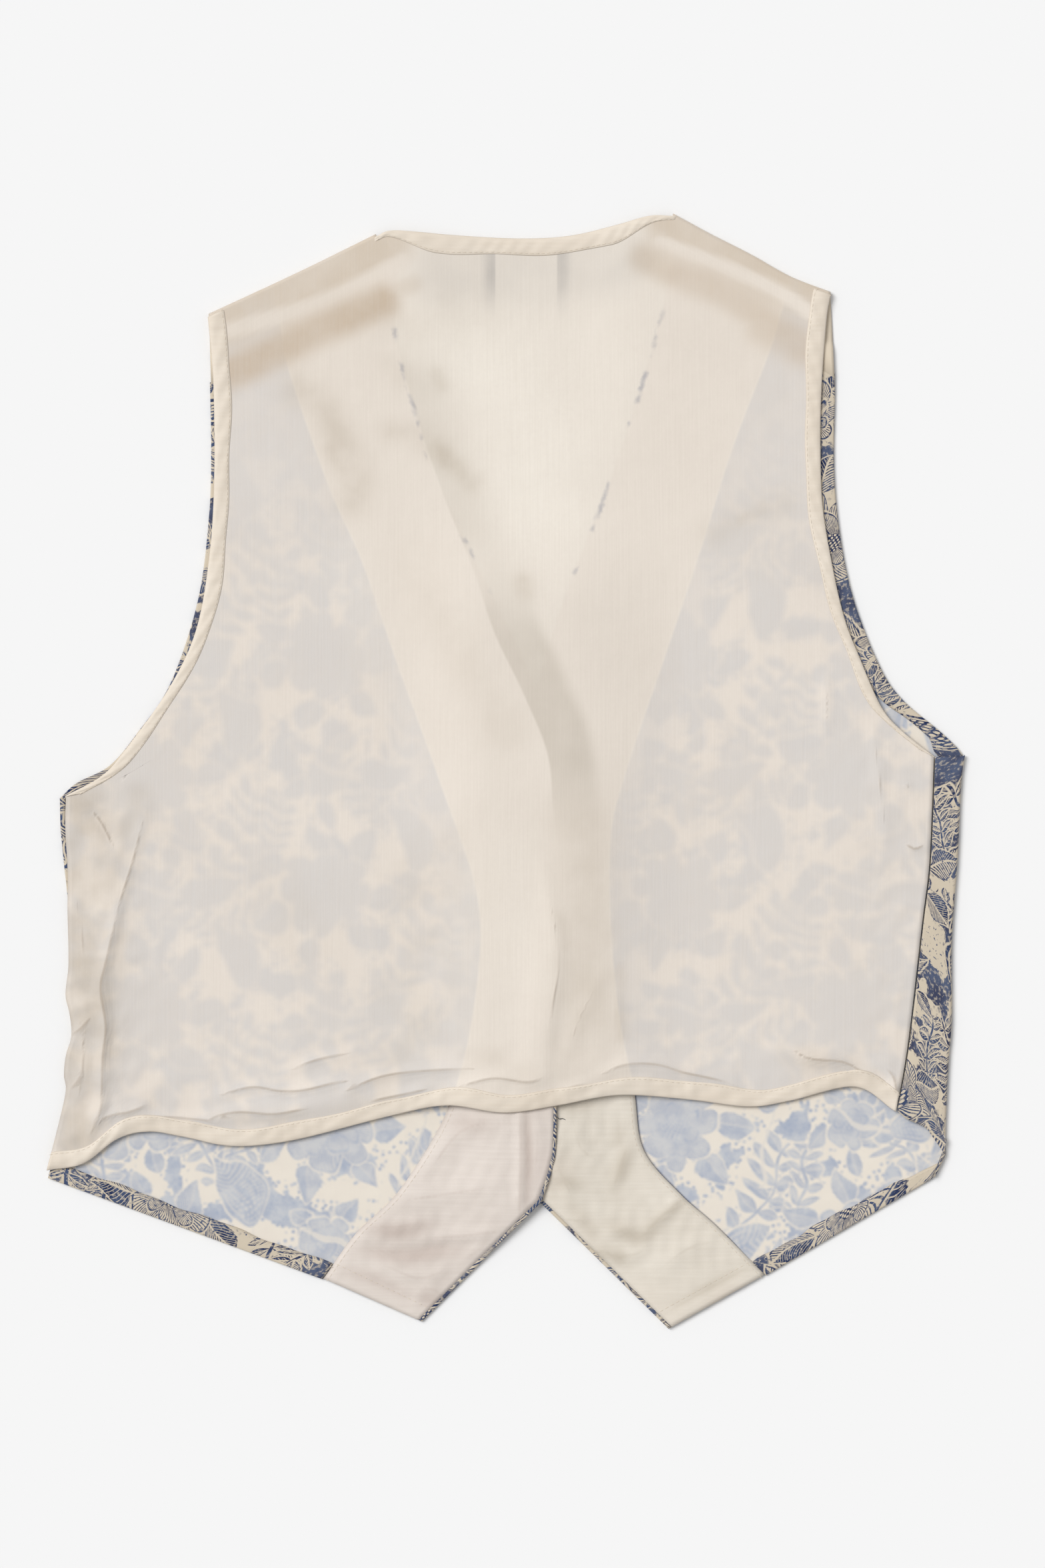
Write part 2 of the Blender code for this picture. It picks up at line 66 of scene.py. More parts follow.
SIDE_CELLS, ARMHOLE_CELLS = 14 * FINE, 22 * FINE
FRONT_FACING_CELLS, FRONT_BODY_CELLS = 22, 60
WRAP_CELLS = 16

POINT_LEFT = [(-43.8, -288.8), (18.9, -226)]
EDGE_LEFT = [(18.9, -226), (24.8, -208), (26.8, -190), (26.6, -120), (26.3, -40), (26, 2)]
VEE_LEFT = [(26, 2), (21, 28.4), (10, 58), (-7.4, 93.5), (-35, 152.3), (-44.8, 182), (-56.6, 226),
            (-56.4, 251.7)]
OUTER_LEFT = [(-95, -266.5), (-78, -242.9), (-54.3, -219.1), (-28.7, -175), (-15.5, -120), (-14, -67.6),
              (-33.6, -6.7), (-57, 58), (-74.9, 109.6), (-92.4, 149.5), (-112.4, 207.2), (-117, 229.4)]
SIDE_LEFT = [(-239.5, -213.3), (-233, -187), (-229.2, -168), (-229.6, -158), (-226.8, -139),
             (-228.4, -117), (-227.8, -101), (-228.6, -74), (-230.4, -50), (-232.2, -30), (-232.6, -14.5)]
ARMHOLE_LEFT = [(-232.6, -14.5), (-224, -6.7), (-206.9, 2.3), (-192.2, 19.6), (-174.7, 45.9),
                (-160.3, 89.6), (-154.5, 134), (-153.4, 170), (-154.4, 215.6)]
POINT_RIGHT = [(86.5, -292.6), (8, -215.3)]
EDGE_RIGHT = [(8, -215.3), (8, -130), (8, -60), (8, 2)]
VEE_RIGHT = [(8, 2), (12.8, 28.4), (23.8, 67.2), (37.5, 107.1), (52.5, 144.6), (66.2, 184.5),
             (82.6, 239.8), (86.3, 266)]
OUTER_RIGHT = [(136.5, -264.5), (111.3, -239.1), (92.4, -222.3), (73, -199), (68, -168), (60.2, -128.5),
               (55.7, -80), (56, -32.6), (64, 0), (85, 62), (102.6, 114.5), (120, 169.8), (138.6, 218.4),
               (144, 236)]
CORNER_RIGHT = [(224.7, -213.5), (231, -201.3)]
SIDE_RIGHT = [(231, -201.3), (233.1, -155.4), (234.9, -131), (235, -89), (238, -46.9), (239.4, -15.4),
              (241.1, 8)]
ARMHOLE_RIGHT = [(241.1, 8), (228.9, 19.6), (208.3, 37.1), (196.4, 54.6), (182.7, 89.6), (175.4, 124.6),
                 (172.3, 160), (172.9, 200), (172.6, 219)]
SIDE_WRAP_HEM = [(231, -201.3), (224.4, -191.8), (220.5, -186.9), (211, -182.7), (206.1, -178.2)]
BACK_SIDE_RIGHT = [(205.3, -178.2), (211.4, -144.6), (219.1, -79.5), (222.6, -51.5), (224.3, -18),
                   (225.2, 7.2)]

# How far the cloths climb over the lap and the buttons, and sink at the neck and along the side seam
LAP_RISE, PLACKET_RISE = 2.7, 2.3
NECK_SAG, SEAM_SINK = 1.3, 1.2
PLACKET_FOOT, VEE_TOP = (-250.0, -200.0), (122.0, 72.0)

# The back's largest folds, as in the solid: middle x, y, half widths along and across, turn, height
BACK_FOLDS = [
    (-4, -166, 26, 13, 0, 1.7),
    (20, -125, 62, 12, 84, 1.8),
    (-105, -176, 62, 11, 12, 1.3),
    (75, -158, 48, 11, -2, 1.3),
    (163, -154, 26, 12, -18, 1.7),
    (-209, -100, 78, 12, 84, 1.5),
    (-196, -176, 26, 12, 30, 1.4),
    (-192, -25, 30, 12, -50, 1.2),
]


def ease(value, start, end):
    """0 at start and beyond it, 1 at end and beyond it, and smooth between."""
    part = np.clip((value - start) / (end - start), 0.0, 1.0)
    return part * part * (3.0 - 2.0 * part)


def smooth_run(knots, steps=16):
    """Fine points on the smooth curve (Catmull-Rom) through the knots."""
    knots = np.array(knots, float)
    if len(knots) == 2:
        return knots
    ends = np.vstack([2.0 * knots[0] - knots[1], knots, 2.0 * knots[-1] - knots[-2]])
    t = (np.arange(steps) / steps)[:, None]
    fine = []
    for p, q, r, s in zip(ends, ends[1:], ends[2:], ends[3:]):
        bend, twist = 2 * p - 5 * q + 4 * r - s, 3 * q - p - 3 * r + s
        fine.append(0.5 * (2 * q + (r - p) * t + bend * t ** 2 + twist * t ** 3))
    return np.vstack([*fine, knots[-1:]])


def at_parts(run, parts):
    """The points of a run that lie at these parts of its length."""
    walked = np.concatenate([[0.0], np.cumsum(np.linalg.norm(np.diff(run, axis=0), axis=1))])
    goals = np.asarray(parts) * walked[-1]
    return np.stack([np.interp(goals, walked, column) for column in run.T], 1)


def spaced(knots, cells):
    return at_parts(smooth_run(knots), np.linspace(0.0, 1.0, cells + 1))


def joined(*runs):
    return np.vstack([runs[0], *(run[1:] for run in runs[1:])])


def between(start, end, cells, first=0.0, last=1.0):
    """Rows of points from each point of one run to the same point of the other."""
    parts = np.linspace(first, last, cells + 1)[None, :, None]
    return start[:, None, :] * (1.0 - parts) + end[:, None, :] * parts


def unit(vectors):
    return vectors / np.linalg.norm(vectors, axis=-1, keepdims=True)


def left_lift(x, y):
    """How far the left front's underside stands above the floor, over the right front and the buttons."""
    rise = LAP_RISE * ease(y, -275.0, -229.0) + PLACKET_RISE * ease(y, *PLACKET_FOOT)
    return rise * ease(x, -36.0, 3.0) * ease(y, *VEE_TOP)


def right_lift(x, y):
    return PLACKET_RISE * ease(x, 60.0, 29.0) * ease(y, *PLACKET_FOOT) * ease(y, *VEE_TOP)


def back_lift(x, y):
    """How far the back's underside stands above the floor in the solid."""
    lap = (LAP_RISE + PLACKET_RISE) * ease(x, -62.0, -8.0) * ease(x, 95.0, 30.0) * ease(y, 150.0, 85.0)
    neck_sag = NECK_SAG * ease(np.abs(x - 13.0), 60.0, 20.0) * ease(y, 150.0, 235.0)
    side_seam = SEAM_SINK * ease(x, -207.0, -226.0) * ease(y, -22.0, -46.0) * ease(y, -196.0, -172.0)
    height = BACK_REST + lap - neck_sag - side_seam
    for middle_x, middle_y, along, across, turn, fold in BACK_FOLDS:
        cos, sin = math.cos(math.radians(turn)), math.sin(math.radians(turn))
        u = ((x - middle_x) * cos + (y - middle_y) * sin) / along
        v = ((y - middle_y) * cos - (x - middle_x) * sin) / across
        height = height + fold * np.exp(-1.5 * (u * u + v * v))
    return height


def nearest(x, y, line):
    """Each point's distance from a line, its side of it (1 left, -1 right) and its part of the length."""
    best, side, along = np.full(np.shape(x), 1e9), np.ones(np.shape(x)), np.zeros(np.shape(x))
    walked, total = 0.0, np.linalg.norm(np.diff(np.array(line), axis=0), axis=1).sum()
    for (ax, ay), (bx, by) in zip(line, line[1:]):
        dx, dy = bx - ax, by - ay
        part = np.clip(((x - ax) * dx + (y - ay) * dy) / (dx * dx + dy * dy), 0.0, 1.0)
        far = np.hypot(x - ax - part * dx, y - ay - part * dy)
        turn = np.where(dx * (y - ay) - dy * (x - ax) >= 0.0, 1.0, -1.0)
        step = math.hypot(dx, dy)
        closer = far < best
        side, along = np.where(closer, turn, side), np.where(closer, (walked + part * step) / total, along)
        best = np.minimum(best, far)
        walked += step
    return best, side, along


def creased(x, y, creases):
    """The height that ridges and hollows add: each has its line, half width and height."""
    added = np.zeros(np.shape(x))
    for line, width, height in creases:
        far, _, along = nearest(x, y, smooth_run(line, 4))
        tapered = 0.25 + 0.75 * np.sqrt(np.sin(math.pi * along).clip(0.0))
        added += height * tapered * np.exp(-((far / width) ** 2))
    return added


LINE_REACH = 3.4


def crease_lines(x, y, creases):
    """Attributes that draw a fine line of painted shade along each crease.

    crease_near is the distance from the nearest crease in millimetres, and grows where the crease fades out.
    crease_side is that distance with the sign of its side, which passes through 0 on the line itself.
    """
    near, signed_far = np.full(np.shape(x), 20.0), np.full(np.shape(x), 20.0)
    for line, _, height in creases:
        far, side, along = nearest(x, y, smooth_run(line, 4))
        faded = 2.4 * (1.0 - np.sin(math.pi * along)) ** 1.5 + max(0.0, LINE_REACH - 4.0 * abs(height))
        closer = far + faded < near
        near, signed_far = np.where(closer, far + faded, near), np.where(closer, far * side, signed_far)
    return {"crease_near": near, "crease_side": signed_far}


CRUMPLE_WAVES = 7


def crumple(x, y, seed, size):
    """Shallow wrinkles that run every way, from 0 to 1, about as wide as size in millimetres."""
    draw = np.random.default_rng(seed)
    added = np.zeros(np.shape(x))
    for _ in range(CRUMPLE_WAVES):
        turn, phase, scale, sway = draw.uniform(0.0, (math.pi, math.tau, 1.0, math.tau))
        u = (x * math.cos(turn) + y * math.sin(turn)) / size
        v = (y * math.cos(turn) - x * math.sin(turn)) / size
        wave = np.sin(u * (1.6 + scale) + 1.3 * np.sin(v * 0.9 + sway) + phase)
        added += 1.0 - np.abs(wave)
    return np.clip(added / CRUMPLE_WAVES * 1.9 - 0.45, 0.0, 1.0)


def turned_edge(edge, inner, low, high, steps=6):
    """Columns that turn an edge over upwards, from the height low to the height high, away from inner."""
    outward = unit(edge - inner)
    angles = np.linspace(0.0, math.pi, steps + 1)[None, :, None]
    radius = ((high - low) / 2.0)[:, None, None]
    plan = edge[:, None, :] + outward[:, None, :] * radius * np.sin(angles)
    height = low[:, None, None] + radius * (1.0 - np.cos(angles))
    return np.concatenate([plan, height], axis=2)


def unrolled(strip, outward):
    """Places in the flat cloth for a strip that hangs on an edge: outwards by the length along the cloth."""
    steps = np.linalg.norm(np.diff(strip, axis=1), axis=2)
    walked = np.concatenate([np.zeros((len(strip), 1)), np.cumsum(steps, axis=1)], axis=1)
    return strip[:, :1, :2] + outward[:, None, :] * walked[:, :, None]


def cloth(name, sheets, upper, under, painted=None):
    """A thin shell of cloth. Each sheet is a grid of points and the grid of their places in the flat cloth.

    painted gives further vertex attributes by name, one value for each point of the first sheet.
    """
    points, places, faces, count = [], [], [], 0
    for grid, flat in sheets:
        rows, columns = grid.shape[:2]
        number = count + np.arange(rows * columns).reshape(rows, columns)
        corners = [number[:-1, :-1], number[:-1, 1:], number[1:, 1:], number[1:, :-1]]
        faces.append(np.stack(corners, -1).reshape(-1, 4))
        points.append(grid.reshape(-1, 3) * MM)
        places.append(np.column_stack([flat.reshape(-1, 2) * MM, np.zeros(rows * columns)]))
        count += rows * columns
    mesh = bpy.data.meshes.new(name)
    mesh.from_pydata(np.vstack(points).tolist(), [], np.vstack(faces).tolist())
    flat_places = mesh.attributes.new("flat", "FLOAT_VECTOR", "POINT")
    flat_places.data.foreach_set("vector", np.vstack(places).ravel())
    for key, values in (painted or {}).items():
        filled = np.full(count, float(np.min(values)))
        filled[:values.size] = values.ravel()
        mesh.attributes.new(key, "FLOAT", "POINT").data.foreach_set("value", filled)
    main = len(faces[0])
    shape = bmesh.new()
    shape.from_mesh(mesh)
    shape.faces.ensure_lookup_table()
    tracked = shape.faces[main // 2]
    bmesh.ops.remove_doubles(shape, verts=shape.verts, dist=WELD * MM)
    bmesh.ops.recalc_face_normals(shape, faces=shape.faces)
    if tracked.normal.z < 0.0:
        bmesh.ops.reverse_faces(shape, faces=shape.faces)
    shape.to_mesh(mesh)
    shape.free()
    mesh.shade_smooth()
    made = bpy.data.objects.new(name, mesh)
    bpy.context.scene.collection.objects.link(made)
    mesh.materials.append(upper)
    mesh.materials.append(under)
    wall = made.modifiers.new("Wall", "SOLIDIFY")
    wall.thickness = SHELL * MM
    wall.offset = 0.0
    wall.material_offset = 1
    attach(made, "root")
    return made


def cut(sheets):
    """The flat cut of a piece from its places in the flat cloth: width and length, and area, in metres."""
    lows, highs, area = [], [], 0.0
    for _, flat in sheets:
        lows.append(flat.reshape(-1, 2).min(0))
        highs.append(flat.reshape(-1, 2).max(0))
        one, two = flat[1:, 1:] - flat[:-1, :-1], flat[1:, :-1] - flat[:-1, 1:]
        area += float(np.abs(one[..., 0] * two[..., 1] - one[..., 1] * two[..., 0]).sum() / 2.0)
    width, length = (np.max(highs, axis=0) - np.min(lows, axis=0)) * MM
    return (float(width), float(length)), area * MM * MM


class Wire:
    """One socket of a material's nodes. Arithmetic on it adds the Math nodes that do it."""

    def __init__(self, tree, socket=None):
        self.tree = tree
        self.socket = socket

    def node(self, kind, settings=None, values=None, out=0):
        """A node of this kind: its settings are set first, then the values or links of its sockets."""
        made = self.tree.nodes.new("ShaderNode" + kind)
        for key, value in (settings or {}).items():
            setattr(made, key, value)
        for key, value in (values or {}).items():
            if isinstance(value, Wire):
                self.tree.links.new(value.socket, made.inputs[key])
            else:
                made.inputs[key].default_value = value
        return Wire(self.tree, made.outputs[out])

    def math(self, operation, *values):
        return self.node("Math", {"operation": operation}, dict(enumerate(values)))

    def __add__(self, other):
        return self.math("ADD", self, other)

    def __sub__(self, other):
        return self.math("SUBTRACT", self, other)

    def __rsub__(self, other):
        return self.math("SUBTRACT", other, self)

    def __mul__(self, other):
        return self.math("MULTIPLY", self, other)

    def __truediv__(self, other):
        return self.math("DIVIDE", self, other)

    __radd__ = __add__
    __rmul__ = __mul__

    def size(self):
        return self.math("ABSOLUTE", self)

    def least(self, other):
        return self.math("MINIMUM", self, other)

    def most(self, other):
        return self.math("MAXIMUM", self, other)

    def rest(self, step):
        """What is left over after whole steps."""
        return self.math("FLOORED_MODULO", self, step)

    def ease(self, start, end):
        """0 at start, 1 at end and smooth between, also where start is the larger."""
        return self.node("MapRange", {"interpolation_type": "SMOOTHSTEP"}, {0: self, 1: start, 2: end})

    def attribute(self, name, out="Fac"):
        return self.node("Attribute", {"attribute_name": name}, out=out)

    def place(self):
        """Places in the object, in metres."""
        return self.node("TexCoord", out="Object")

    def apart(self):
        """The x and y parts of a vector."""
        x = self.node("SeparateXYZ", {}, {0: self})
        return x, Wire(self.tree, x.socket.node.outputs[1])

    def stretched(self, x, y):
        return self.node("Mapping", {}, {"Vector": self, "Scale": (x, y, 1.0)})

    def noise(self, scale, detail=2.0, out=0, **settings):
        return self.node("TexNoise", settings, {"Vector": self, "Scale": scale, "Detail": detail}, out)

    def crease(self, half_width):
        """1 on the fine line of a crease and 0 farther than half_width from it, in millimetres."""
        on_line = self.attribute("crease_side").size().ease(half_width, 0.1)
        return on_line * self.attribute("crease_near").ease(LINE_REACH, 1.2)

    def mix(self, a, b):
        """The colour a where this is 0 and b where it is 1."""
        return self.node("Mix", {"data_type": "RGBA"}, {0: self, 6: a, 7: b}, out=2)

    def over(self, below, above):
        """The value below where this is 0 and above where it is 1."""
        return below + (above - below) * self


def srgb(red, green, blue):
    """A colour as seen on a screen, from 0 to 255, for a colour socket."""
    return (*(((v / 255.0 + 0.055) / 1.055) ** 2.4 for v in (red, green, blue)), 1.0)


def finish(name, paint, roughness, sheen=0.0, specular=0.5):
    """A material. paint gives its colour, its bump's height in millimetres, and its roughness or None."""
    made = bpy.data.materials.new(name)
    made.use_nodes = True
    tree = made.node_tree
    shader = tree.nodes["Principled BSDF"]
    shader.inputs["Roughness"].default_value = roughness
    shader.inputs["Sheen Weight"].default_value = sheen
    shader.inputs["Specular IOR Level"].default_value = specular
    start = Wire(tree)
    colour, height, varied = paint(start)
    tree.links.new(colour.socket, shader.inputs["Base Color"])
    if varied is not None:
        tree.links.new(varied.socket, shader.inputs["Roughness"])
    bump = start.node("Bump", {}, {"Height": height, "Distance": MM, "Strength": 1.0})
    tree.links.new(bump.socket, shader.inputs["Normal"])
    return made


REPEAT_WIDTH, REPEAT_HEIGHT = 92.0, 124.0
PRINT_WANDER = 15.0


def in_repeat(x, y, middle, turn):
    """Places round one motif of the half-drop repeat, turned to lie along it."""
    start = x - (middle[0] - REPEAT_WIDTH / 2.0)
    column = (start / REPEAT_WIDTH).math("FLOOR", start / REPEAT_WIDTH)
    across = start.rest(REPEAT_WIDTH) - REPEAT_WIDTH / 2.0
    along = (y - (middle[1] - REPEAT_HEIGHT / 2.0) + column * (REPEAT_HEIGHT / 2.0)).rest(REPEAT_HEIGHT)
    along = along - REPEAT_HEIGHT / 2.0
    cos, sin = math.cos(math.radians(turn)), math.sin(math.radians(turn))
    return across * cos + along * sin, along * cos - across * sin


def petal_ring(radius, angle, size, petals, phase, soft):
    """A ring of hatched petals: how far inside it a place is, and its ink."""
    turn = (angle * (petals / math.tau) + (phase + petals)).rest(1.0)
    side = (turn - 0.5).size() * 2.0
    tip = (1.0 - side * side * side * 0.34) * size
    reach = radius / tip
    turned = angle * (11.0 * petals)
    bare = reach * 1.9 - 1.2
    ink = turned.math("SINE", turned).ease(bare - soft, bare + soft)
    inside = tip - radius
    return inside, ink.most(side.ease(0.82, 0.95)).most(inside.ease(1.3, 0.7))


def bloom(u, v, size, petals, soft):
    """Two rings of petals round a seeded heart."""
    radius = (u * u + v * v).math("SQRT", u * u + v * v)
    angle = v.math("ARCTAN2", v, u)
    outside, ink = petal_ring(radius, angle, size, petals, 0.0, soft)
    inner, inner_ink = petal_ring(radius, angle, size * 0.64, petals, 0.5, soft)
    ink = inner.ease(-0.9, -0.5).over(ink, inner.ease(-0.1, 0.3) * inner_ink)
    heart = size * 0.24 - radius
    seeds = (u * 2.4).math("SINE", u * 2.4) * (v * 2.4).math("SINE", v * 2.4)
    ink = heart.ease(-0.3, 0.3).over(ink, seeds.ease(0.35, 0.05))
    return outside, ink, radius, angle


def leaf(u, v, length, width, tooth=0.12):
    """A veined leaf with its tip along u: how far inside it a place is, and its ink."""
    part = (u / length + 0.5).most(-0.4).least(1.4)
    teeth = ((u - v.size() * 0.8) / 3.1).rest(1.0) * tooth + (1.0 - tooth)
    wide = part * (1.0 - part) * (4.0 * width) * (1.25 - part * 0.45) * teeth
    inside = wide - v.size()
    veins = ((u - v.size() * 1.3) / 1.7).rest(1.0)
    shade = veins.ease(0.62, 0.36) * v.ease(-0.3, 0.3) + veins.ease(0.94, 0.7) * v.ease(0.3, -0.3)
    shade = shade.most(inside.ease(0.9, 0.5)) * v.size().ease(0.25, 0.6)
    return inside, shade


def stamped(ink, inside, shade, detail, soft):
    """A motif laid over the print so far, with a thin bare line left round it."""
    bare = inside.ease(-1.3 - soft * 0.6, -0.6 - soft * 0.2) * min(1.0, detail + 0.5)
    shade = shade * detail + (1.0 - detail) * 0.62
    return inside.ease(-0.2 - soft * 0.6, 0.2 + soft * 0.6).over(ink * (1.0 - bare), shade)


def print_ink(start, soft, detail, spread=0.0):
    """The print's ink from 0 to 1: blooms, leaves, feathers and sprigs in a half-drop repeat.

    soft blurs the motifs' edges, in millimetres. detail is 1 for every hatched line and 0 for flat shapes.
    spread, in millimetres, scatters the ink as fine dots, which blurs all of it.
    """
    flat = start.attribute("flat", "Vector")
    if spread:
        dots = start.node("TexWhiteNoise", {"noise_dimensions": "3D"}, {"Vector": flat}, out="Color")
        flat = start.node("VectorMath", {"operation": "MULTIPLY_ADD"},
                          {0: dots, 1: (2.0 * spread * MM, 2.0 * spread * MM, 0.0), 2: flat})
    wander = flat.noise(34.0, 1.0, out="Color", noise_dimensions="2D")
    x, y = (drawn * 1000.0 + (shake - 0.5) * PRINT_WANDER
            for drawn, shake in zip(flat.apart(), wander.apart()))
    islands = flat.noise(42.0, noise_dimensions="2D")
    specks = start.node("TexVoronoi", {"voronoi_dimensions": "2D"}, {"Vector": flat, "Scale": 300.0})
    ink = specks.ease(0.34 + soft * 0.1, 0.22 - soft * 0.1) * islands.ease(0.44, 0.5) * 0.8
    sea = 0.585 - detail * 0.087
    ink = ink.most(islands.ease(sea - soft * 0.01, sea + 0.015 + soft * 0.01) * (detail * 0.35 + 0.6))

    for middle, turn, length, reach in (((46.0, -31.0), 57.0, 58.0, 13.0), ((23.0, 50.0), 128.0, 40.0, 10.0),
                                        ((-26.0, 36.0), 70.0, 34.0, 9.0), ((-40.0, -10.0), 10.0, 30.0, 9.0)):
        u, v = in_repeat(x, y, middle, turn)
        bend = u / 11.0
        v = v - bend.math("SINE", bend) * 3.0
        pitch = reach * 0.78
        step = u.rest(pitch) - pitch / 2.0
        aside = v.size() - reach * 0.52
        inside, shade = leaf(aside, step - aside * 0.5, reach, reach * 0.27, 0.0)
        inside = inside.most(0.7 - v.size()).least(length / 2.0 - u.size())
        ink = stamped(ink, inside, shade.most(v.size().ease(1.0, 0.6)), detail, soft)

    for middle, size, petals, leaves, length, width in (((0.0, 0.0), 23.0, 8, 7, 21.0, 7.0),
                                                        ((0.0, 62.0), 12.5, 6, 5, 15.0, 5.0)):
        u, v = in_repeat(x, y, middle, 20.0)
        outside, bloom_ink, radius, angle = bloom(u, v, size, petals, 0.25)
        slice_angle = math.tau / leaves
        across = ((angle + math.tau).rest(slice_angle) - slice_angle / 2.0) * radius
        inside, shade = leaf(radius - size - length * 0.40, across - (radius - size) * 0.22, length, width)
        ink = stamped(ink, inside, shade, detail, soft)
        ink = stamped(ink, outside, bloom_ink, detail, soft)

    for middle, turn, length, width in (((46.0, 31.0), 118.0, 40.0, 9.5), ((34.0, -62.0), 20.0, 30.0, 8.0)):
        u, v = in_repeat(x, y, middle, turn)
        v = v - u * u * 0.013
        part = (u / length + 0.5).least(1.2)
        wide = part.most(0.0).math("SQRT", part.most(0.0)) * (1.0 - part) * (2.6 * width)
        inside = wide - v.size()
        scales = ((u - v.size() * 0.8) / 2.6).rest(1.0).ease(0.34, 0.62)
        dots = (u * 1.5).math("SINE", u * 1.5) * (v * 1.5).math("SINE", v * 1.5)
        shade = inside.ease(2.4, 3.0).over(inside.ease(1.9, 1.6), dots.size().ease(0.62, 0.42))
        shade = part.ease(0.5, 0.62).over(shade, scales)
        ink = stamped(ink, inside, shade, detail, soft)
    return ink


def weave(start, pitch, depth):
    """The bump of a plain weave with a few thicker yarns, in millimetres."""
    place = start.place()
    across, along = (part * (math.tau / (pitch * MM)) for part in place.apart())
    yarns = across.math("SINE", across) * along.math("SINE", along) * depth
    return yarns + (place.stretched(900.0, 28.0).noise(1.0) - 0.5) * (depth * 1.6)


def paint_print_right(start):
    """The printed side: cream ground, grey-blue where the hatching is close, and navy lines."""
    ink = print_ink(start, 0.0, 1.0)
    flat = start.attribute("flat", "Vector")
    cloudy, mottle = flat.noise(70.0, 3.0), flat.noise(520.0)
    worn_ink = ink * mottle.ease(0.66, 0.5).over(0.5, 1.0)
    ink = worn_ink.most(mottle.ease(0.42, 0.3) * cloudy.ease(0.42, 0.55))
    navy = cloudy.ease(0.35, 0.62).mix(srgb(26, 42, 80), srgb(67, 82, 113))
    ground = cloudy.mix(srgb(222, 209, 187), srgb(210, 196, 173))
    return (ink * 0.9 + 0.1).mix(ground, navy), weave(start, 0.5, 0.02), None


def paint_print_wrong(start):
    """The wrong side, where the ink has soaked through as pale blue, with a painted shadow line along the
    right facing's edge.
    """
    ink = print_ink(start, 0.45, 0.3, 0.8)
    cloudy = start.attribute("flat", "Vector").noise(110.0, 4.0)
    blue = cloudy.ease(0.32, 0.68).mix(srgb(163, 173, 192), srgb(193, 197, 204))
    ground = cloudy.mix(srgb(235, 227, 214), srgb(227, 218, 206))
    # painted shadow: a dark line along the right facing's pressed edge
    edge = start.attribute("facing_edge_shadow").ease(0.5, 0.95)
    blue = (edge * 0.75).mix(blue, srgb(92, 98, 118))
    ground = (edge * 0.6).mix(ground, srgb(120, 122, 132))
    return (ink * 1.25).least(1.0).mix(ground, blue), weave(start, 0.5, 0.02), None


print_right = finish("print_right", paint_print_right, 0.75, sheen=0.1, specular=0.25)
print_wrong = finish("print_wrong", paint_print_wrong, 0.85, sheen=0.1, specular=0.2)


def front_runs(point, edge, vee, outer, side, armhole, corner):
    """A front's edge, the line of its facing's outer edge, and its side: three runs from hem to shoulder."""
    edge_run = joined(spaced(point, POINT_CELLS), spaced(edge, EDGE_CELLS), spaced(vee, VEE_CELLS))
    outer_run = spaced(outer, SIDE_CELLS + ARMHOLE_CELLS)
    if corner:
        side_run = joined(spaced(corner, FINE), spaced(side, SIDE_CELLS - FINE))
    else:
        side_run = spaced(side, SIDE_CELLS)
    return edge_run, outer_run, joined(side_run, spaced(armhole, ARMHOLE_CELLS))


def with_height(plan, lift, more=0.0):
    height = lift(plan[..., 0], plan[..., 1]) + MIDDLE + more
    return np.concatenate([plan, height[..., None]], axis=-1)


left_edge, left_outer, left_side = front_runs(POINT_LEFT, EDGE_LEFT, VEE_LEFT, OUTER_LEFT, SIDE_LEFT,
                                              ARMHOLE_LEFT, None)
right_edge, right_outer, right_side = front_runs(POINT_RIGHT, EDGE_RIGHT, VEE_RIGHT, OUTER_RIGHT, SIDE_RIGHT,
                                                 ARMHOLE_RIGHT, CORNER_RIGHT)
side_rows = np.arange(len(right_side))
room = ease(side_rows, 0, 2 * FINE) * ease(side_rows, SIDE_CELLS + 4, SIDE_CELLS - 4)
right_side = right_side - unit(right_side - right_outer) * (ROLL * room)[:, None]


def front_sheets(edge, outer, side, lift):
    """The panel of a front, and the lip that rolls up over its facing's edge."""
    body = between(outer, side, FRONT_BODY_CELLS)
    plan = np.concatenate([between(edge, outer, FRONT_FACING_CELLS), body[:, 1:]], axis=1)
    low = lift(edge[:, 0], edge[:, 1]) + MIDDLE
    inward = unit(outer - edge)
    lip = turned_edge(edge + inward * LIP_REACH, outer, low, low + LAYER)
    flat_end = lip[:, -1:, :] + np.concatenate([inward * LIP_FLAT, np.zeros((len(edge), 1))], 1)[:, None, :]
    lip = np.concatenate([lip, flat_end], axis=1)
    panel = with_height(plan, lift)
    panel[:, 0] = lip[:, 0]
    return [(panel, plan), (lip, unrolled(lip, -inward))]


def shadow_line(plan):
    """A painted shadow line where the right facing's pressed edge meets the print, darkest near the hem."""
    line = np.zeros(plan.shape[:2])
    line[:, FRONT_FACING_CELLS] = 0.35 + 0.65 * ease(plan[:, FRONT_FACING_CELLS, 1], -262.0, -245.0)
    return {"facing_edge_shadow": line}


left_sheets = front_sheets(left_edge, left_outer, left_side, left_lift)
seam_rows = slice(SIDE_CELLS - 4 * FINE, SIDE_CELLS + 1)
seam_edge, seam_inner = left_side[seam_rows], left_outer[seam_rows]
seam_low = left_lift(seam_edge[:, 0], seam_edge[:, 1]) + MIDDLE
seam_rise = 0.1 + (LAYER - 0.1) * ease(np.arange(len(seam_edge)), 0, 2 * FINE)
seam_roll = turned_edge(seam_edge, seam_inner, seam_low, seam_low + seam_rise)
seam_inward = np.concatenate([unit(seam_inner - seam_edge), np.zeros((len(seam_edge), 1))], axis=1)
seam_roll = np.concatenate([seam_roll, seam_roll[:, -1:] + SEAM_LAP * seam_inward[:, None]], axis=1)
left_sheets.append((seam_roll, unrolled(seam_roll, unit(seam_edge - seam_inner))))
front_left = cloth("front_left_cloth", left_sheets, print_wrong, print_right)

